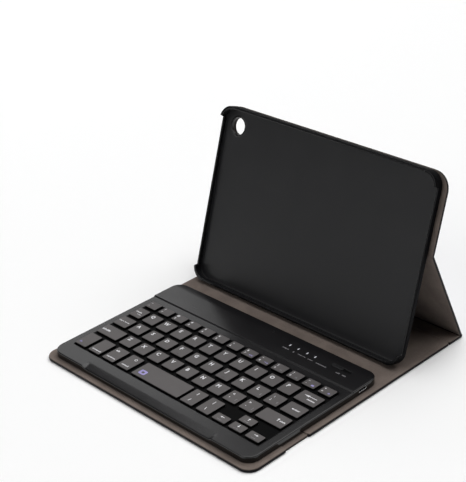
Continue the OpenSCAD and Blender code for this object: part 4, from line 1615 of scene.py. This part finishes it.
        # The web between the keys carries the painted-shade mark: painted black, without glare, as
        # shade in the gaps.
        between = [self.web(1.2)]
        edges = [outer, *lips, recess[0][:, :2]]
        made.fill(edges, self.height, np.array(extra), lines, lambda p: PAINTED_SHADE * inside(p, between))
        made.fill([under, *holes], lambda p: self.height(p) - self.deck_t)
        # The walls of the key holes carry the painted-shade mark as well.
        for lip, hole in zip(lips, holes):
            mid = lip + (hole - lip) * 0.7
            steps = [(lip, 0.0), (mid, 0.05), (hole, self.lip), (hole, self.deck_t)]
            made.loft(np.stack([lift(p, self.height(p) - drop) for p, drop in steps]), PAINTED_SHADE)
        made.loft(recess, [0.0, 0.7, 1.0, 1.0])
        made.cap(recess[-1], 1.0)

    def caps(self, group: KeyGroup) -> None:
        """Makes the hollow caps of one group: a dished, textured top whose grey is partly painted
        sheen, and near-black sides that are partly painted shade.

        Args:
            group: The keys.
        """
        made = Shell()
        top, low, wall = self.cap_top, self.cap_low, self.cap_wall
        # Rows of (inset, height, edge mark); marked rows take the near-black side colour, partly
        # painted shade.
        sides = [(wall, top - 1.0, 1.0), (wall, low, 1.0), (0.0, low, 1.0), (0.0, top - 0.75, 1.0),
                 (0.05, top - 0.35, 0.95), (0.14, top - 0.15, 0.5), (0.3, top - 0.045, 0.1),
                 (0.5, top - 0.01, 0.0), (0.9, top - 0.02, 0.0), (1.8, top - 0.06, 0.0),
                 (3.0, top - 0.09, 0.0)]
        for outlines in zip(*(self.key_loops(group, d, 5) for d, _, _ in sides)):
            rings = np.stack([lift(flat, z) for flat, (_, z, _) in zip(outlines, sides)])
            made.loft(rings, [mark for _, _, mark in sides])
            made.cap(rings[-1])
            made.cap(rings[0], 1.0)
        if group.bump >= 0:
            at = (group.keys[group.bump][0], self.y0 + group.row[0] - 3.9)
            rows = [(0.0, top - 0.2), (0.0, top + 0.1), (0.12, top + 0.2)]
            made.solid(bar_rings((1.5, 0.3), 0.3, at, rows))
        name, body = f"{group.node}_moulding", f"{group.node}_cap"
        hand_over(made, name, "keycap_plastic", body, [group.node])

    def legends(self, group: KeyGroup) -> None:
        """Prints the legends of one group, one piece for each ink.

        Args:
            group: The keys.
        """
        y = self.y0 + group.row[0]
        for ink in Ink:
            made = Shell()
            for (x, _), marks in zip(group.keys, group.marks):
                for mark in marks:
                    if mark.ink is ink:
                        GLYPHS.place(made, mark, x, y, self.cap_top)
            if made.count:
                name, body = f"{group.node}_print_{ink.name.lower()}", f"{group.node}_cap"
                hand_over(made, name, ink.value, body, slot="keycap_plastic")

    def panel_print(self) -> None:
        """Prints the small words beside the lights and the switch."""
        made = Shell()
        words = [("caps", 28.5, 6.0), ("1", 36.2, 0.9), ("charge", 43.8, 7.4), ("pair", 52.3, 4.6),
                 ("connect", 62.2, 9.4), ("on", 83.0, 3.2), ("off", 77.6, 3.6)]
        for text, x, width in words:
            GLYPHS.place(made, Mark(text, 0.0, 0.0, 1.15, width), x, self.print_y, self.hump_z)
        hand_over(made, "light_and_switch_print", "grey_ink", "keyboard", slot="case_plastic")

    def light_pipes(self) -> None:
        """Makes the four light windows, each a rounded bar from the board to the top."""
        made = Shell()
        rows = [(0.0, 5.5), (0.0, self.hump_z - 0.05), (0.06, self.hump_z + 0.03)]
        for x in self.lights:
            made.solid(bar_rings((0.45, 1.1), 0.3, (x, self.light_y), rows))
        hand_over(made, "light_windows", "light_pipe", "keyboard", ["status_lights"])

    def switch(self) -> None:
        """Makes the power slider with five grip ribs and its stem."""
        made = Shell()
        x, z = self.knob_x, self.hump_z - 0.65
        knob = (x, 5.0, 1.25, 0.8, z, z + 0.82, 0.12)
        stem = (x, 1.0, 0.5, 0.2, z - 1.7, z + 0.1, 0.02)
        ribs = [(x + 1.4 * i, 0.28, 0.95, 0.25, z + 0.7, z + 0.95, 0.1) for i in range(-2, 3)]
        for cx, hx, hy, r, low, high, soft in (knob, stem, *ribs):
            rows = [(0.0, low), (0.0, high - soft), (soft * 0.3, high - soft * 0.3), (soft, high)]
            made.solid(bar_rings((hx, hy), r, (cx, self.slot[1]), rows, 5))
        hand_over(made, "power_knob", "slider_plastic", "slider", ["power_slider"])

    def socket(self) -> None:
        """Makes the charging socket: a drawn steel mouth with its tongue inside."""
        # Upright rings are laid on their side: x becomes y, y becomes z and z becomes x.
        lay = np.array([[0.0, 1.0, 0.0], [0.0, 0.0, 1.0], [1.0, 0.0, 0.0]])
        at = [0.0, self.port_y, self.port_z]
        steel = [(0.0, 94.45), (0.0, 100.2), (-0.05, 100.45), (0.05, 100.55), (0.35, 100.5),
                 (0.4, 100.2), (0.4, 95.5)]
        tongue = [(0.0, 95.3), (0.0, 99.3), (0.12, 99.6)]
        for name, look, half, r, rows, nodes in (
            ("mouth", "socket_steel", (3.8, 1.25), 0.9, steel, ["usb_socket"]),
            ("tongue", "plate_plastic", (2.5, 0.35), 0.12, tongue, []),
        ):
            made = Shell()
            made.solid(bar_rings(half, r, (0.0, 0.0), rows, 5) @ lay + at)
            hand_over(made, f"charging_socket_{name}", look, "keyboard", nodes)

    def feet(self) -> None:
        """Makes the four round feet with a softened rim."""
        made = Shell()
        for x, y in self.feet_at:
            made.solid(round_rings(x, y, [(3.6, 2.6), (3.85, 2.65), (4.0, 2.8), (4.0, 3.05)]))
        hand_over(made, "round_feet", "foot_rubber", "keyboard", ["rubber_feet"])

    def build(self) -> None:
        """Makes every part of the keyboard."""
        top = self.top_case()
        hand_over(top, "keyboard_housing", "case_plastic", "keyboard", ["keyboard_top"])
        for group in self.groups:
            self.caps(group)
            self.legends(group)
        self.panel_print()
        self.light_pipes()
        self.switch()
        self.socket()
        self.feet()


def dress_plain_nodes() -> None:
    """Gives each node that stays as it is the finish of its material slot."""
    for part in frame["record"]["subparts"]:
        node = frame["nodes"][part["node"]]
        if node.hide_render:
            continue
        node.data.materials.clear()
        node.data.materials.append(finish(part["material_slot"]))
        LOG.info("%s keeps its shape and takes %s", node.name, part["material_slot"])


# --------------------------------------------------------------------------------------------------
# Studio
# --------------------------------------------------------------------------------------------------


@dataclass(frozen=True)
class Lamp:
    """A soft square lamp aimed at the case."""

    name: str
    at: tuple[float, float, float]
    size: float
    power: float
    aim: tuple[float, float, float] = (0.0, 0.0, 0.04)

    def build(self) -> None:
        """Adds the lamp."""
        data = bpy.data.lights.new(self.name, "AREA")
        data.energy, data.size = self.power, self.size
        made = link(self.name, data)
        made.location = self.at
        away = Vector(self.at) - Vector(self.aim)
        made.rotation_euler = away.to_track_quat("Z", "Y").to_euler()


@dataclass(frozen=True)
class SoftSky:
    """A wide even light that reaches the whole floor alike, like a large tent overhead."""

    name: str
    towards: tuple[float, float, float]
    angle: float
    strength: float

    def build(self) -> None:
        """Adds the light."""
        data = bpy.data.lights.new(self.name, "SUN")
        data.energy, data.angle = self.strength, math.radians(self.angle)
        made = link(self.name, data)
        made.rotation_euler = Vector(self.towards).to_track_quat("Z", "Y").to_euler()


@dataclass
class Studio:
    """Pale floor, soft light and the camera."""

    azimuth: float = 47.69
    elevation: float = 27.38
    roll: float = -0.07
    camera_at: tuple[float, float, float] = (0.5985, -0.5559, 0.5101)
    lens: float = 99.93
    sensor: float = 36.0
    room: float = 0.06
    floor_half: float = 12.0
    floor_z: float = -0.00002
    lamps: tuple[Lamp | SoftSky, ...] = (
        SoftSky("tent", (0.02, 0.34, 1.0), 76.0, 2.8),
        SoftSky("fill", (-0.3, -0.95, 0.55), 50.0, 0.6),
        Lamp("sheen_lamp", (-1.02, 0.57, 0.7), 0.45, 0.8),
    )

    def camera(self) -> None:
        """Stands the camera at its measured place, with its measured turn."""
        az, el = math.radians(self.azimuth), math.radians(self.elevation)
        back = Vector((math.sin(az) * math.cos(el), -math.cos(az) * math.cos(el), math.sin(el)))
        right = Vector((0, 0, 1)).cross(back).normalized()
        up = back.cross(right)
        c, s = math.cos(self.roll), math.sin(self.roll)
        rolled_right, rolled_up = c * right + s * up, c * up - s * right
        axes = Matrix((rolled_right, rolled_up, back)).transposed()
        data = bpy.data.cameras.new("camera")
        data.lens, data.sensor_width, data.sensor_fit = self.lens, self.sensor, "AUTO"
        data.clip_start, data.clip_end = 0.01, 100.0
        made = link("camera", data)
        made.matrix_world = Matrix.Translation(self.camera_at) @ axes.to_4x4()
        bpy.context.scene.camera = made

    def floor(self) -> None:
        """Lays a wide pale floor just under the case."""
        side, z = self.floor_half, self.floor_z
        data = bpy.data.meshes.new("studio_floor")
        corners = [(-side, -side, z), (side, -side, z), (side, side, z), (-side, side, z)]
        data.from_pydata(corners, [], [(0, 1, 2, 3)])
        data.materials.append(finish("studio_paper"))
        made = link("studio_floor", data)

    def world(self) -> None:
        """Fills the room with a low even light."""
        world = bpy.data.worlds.new("studio_world")
        world.use_nodes = True
        world.node_tree.nodes.clear()
        g = Graph(world.node_tree)
        light = {"Color": (1.0, 1.0, 1.0, 1.0), "Strength": self.room}
        g.node("ShaderNodeOutputWorld", {0: g.node("ShaderNodeBackground", light).outputs[0]})
        bpy.context.scene.world = world

    def build(self) -> None:
        """Sets the whole studio up."""
        self.camera()
        self.floor()
        self.world()
        for lamp in self.lamps:
            lamp.build()
        bpy.context.scene.view_settings.view_transform = "Standard"


def main() -> None:
    """Builds the case, dresses it and lights it."""
    logging.basicConfig(level=logging.INFO, format="%(message)s")
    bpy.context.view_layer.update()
    Studio().build()
    Folio().build()
    TabletTray().build()
    Keyboard().build()
    dress_plain_nodes()


if __name__ == "__main__":
    main()
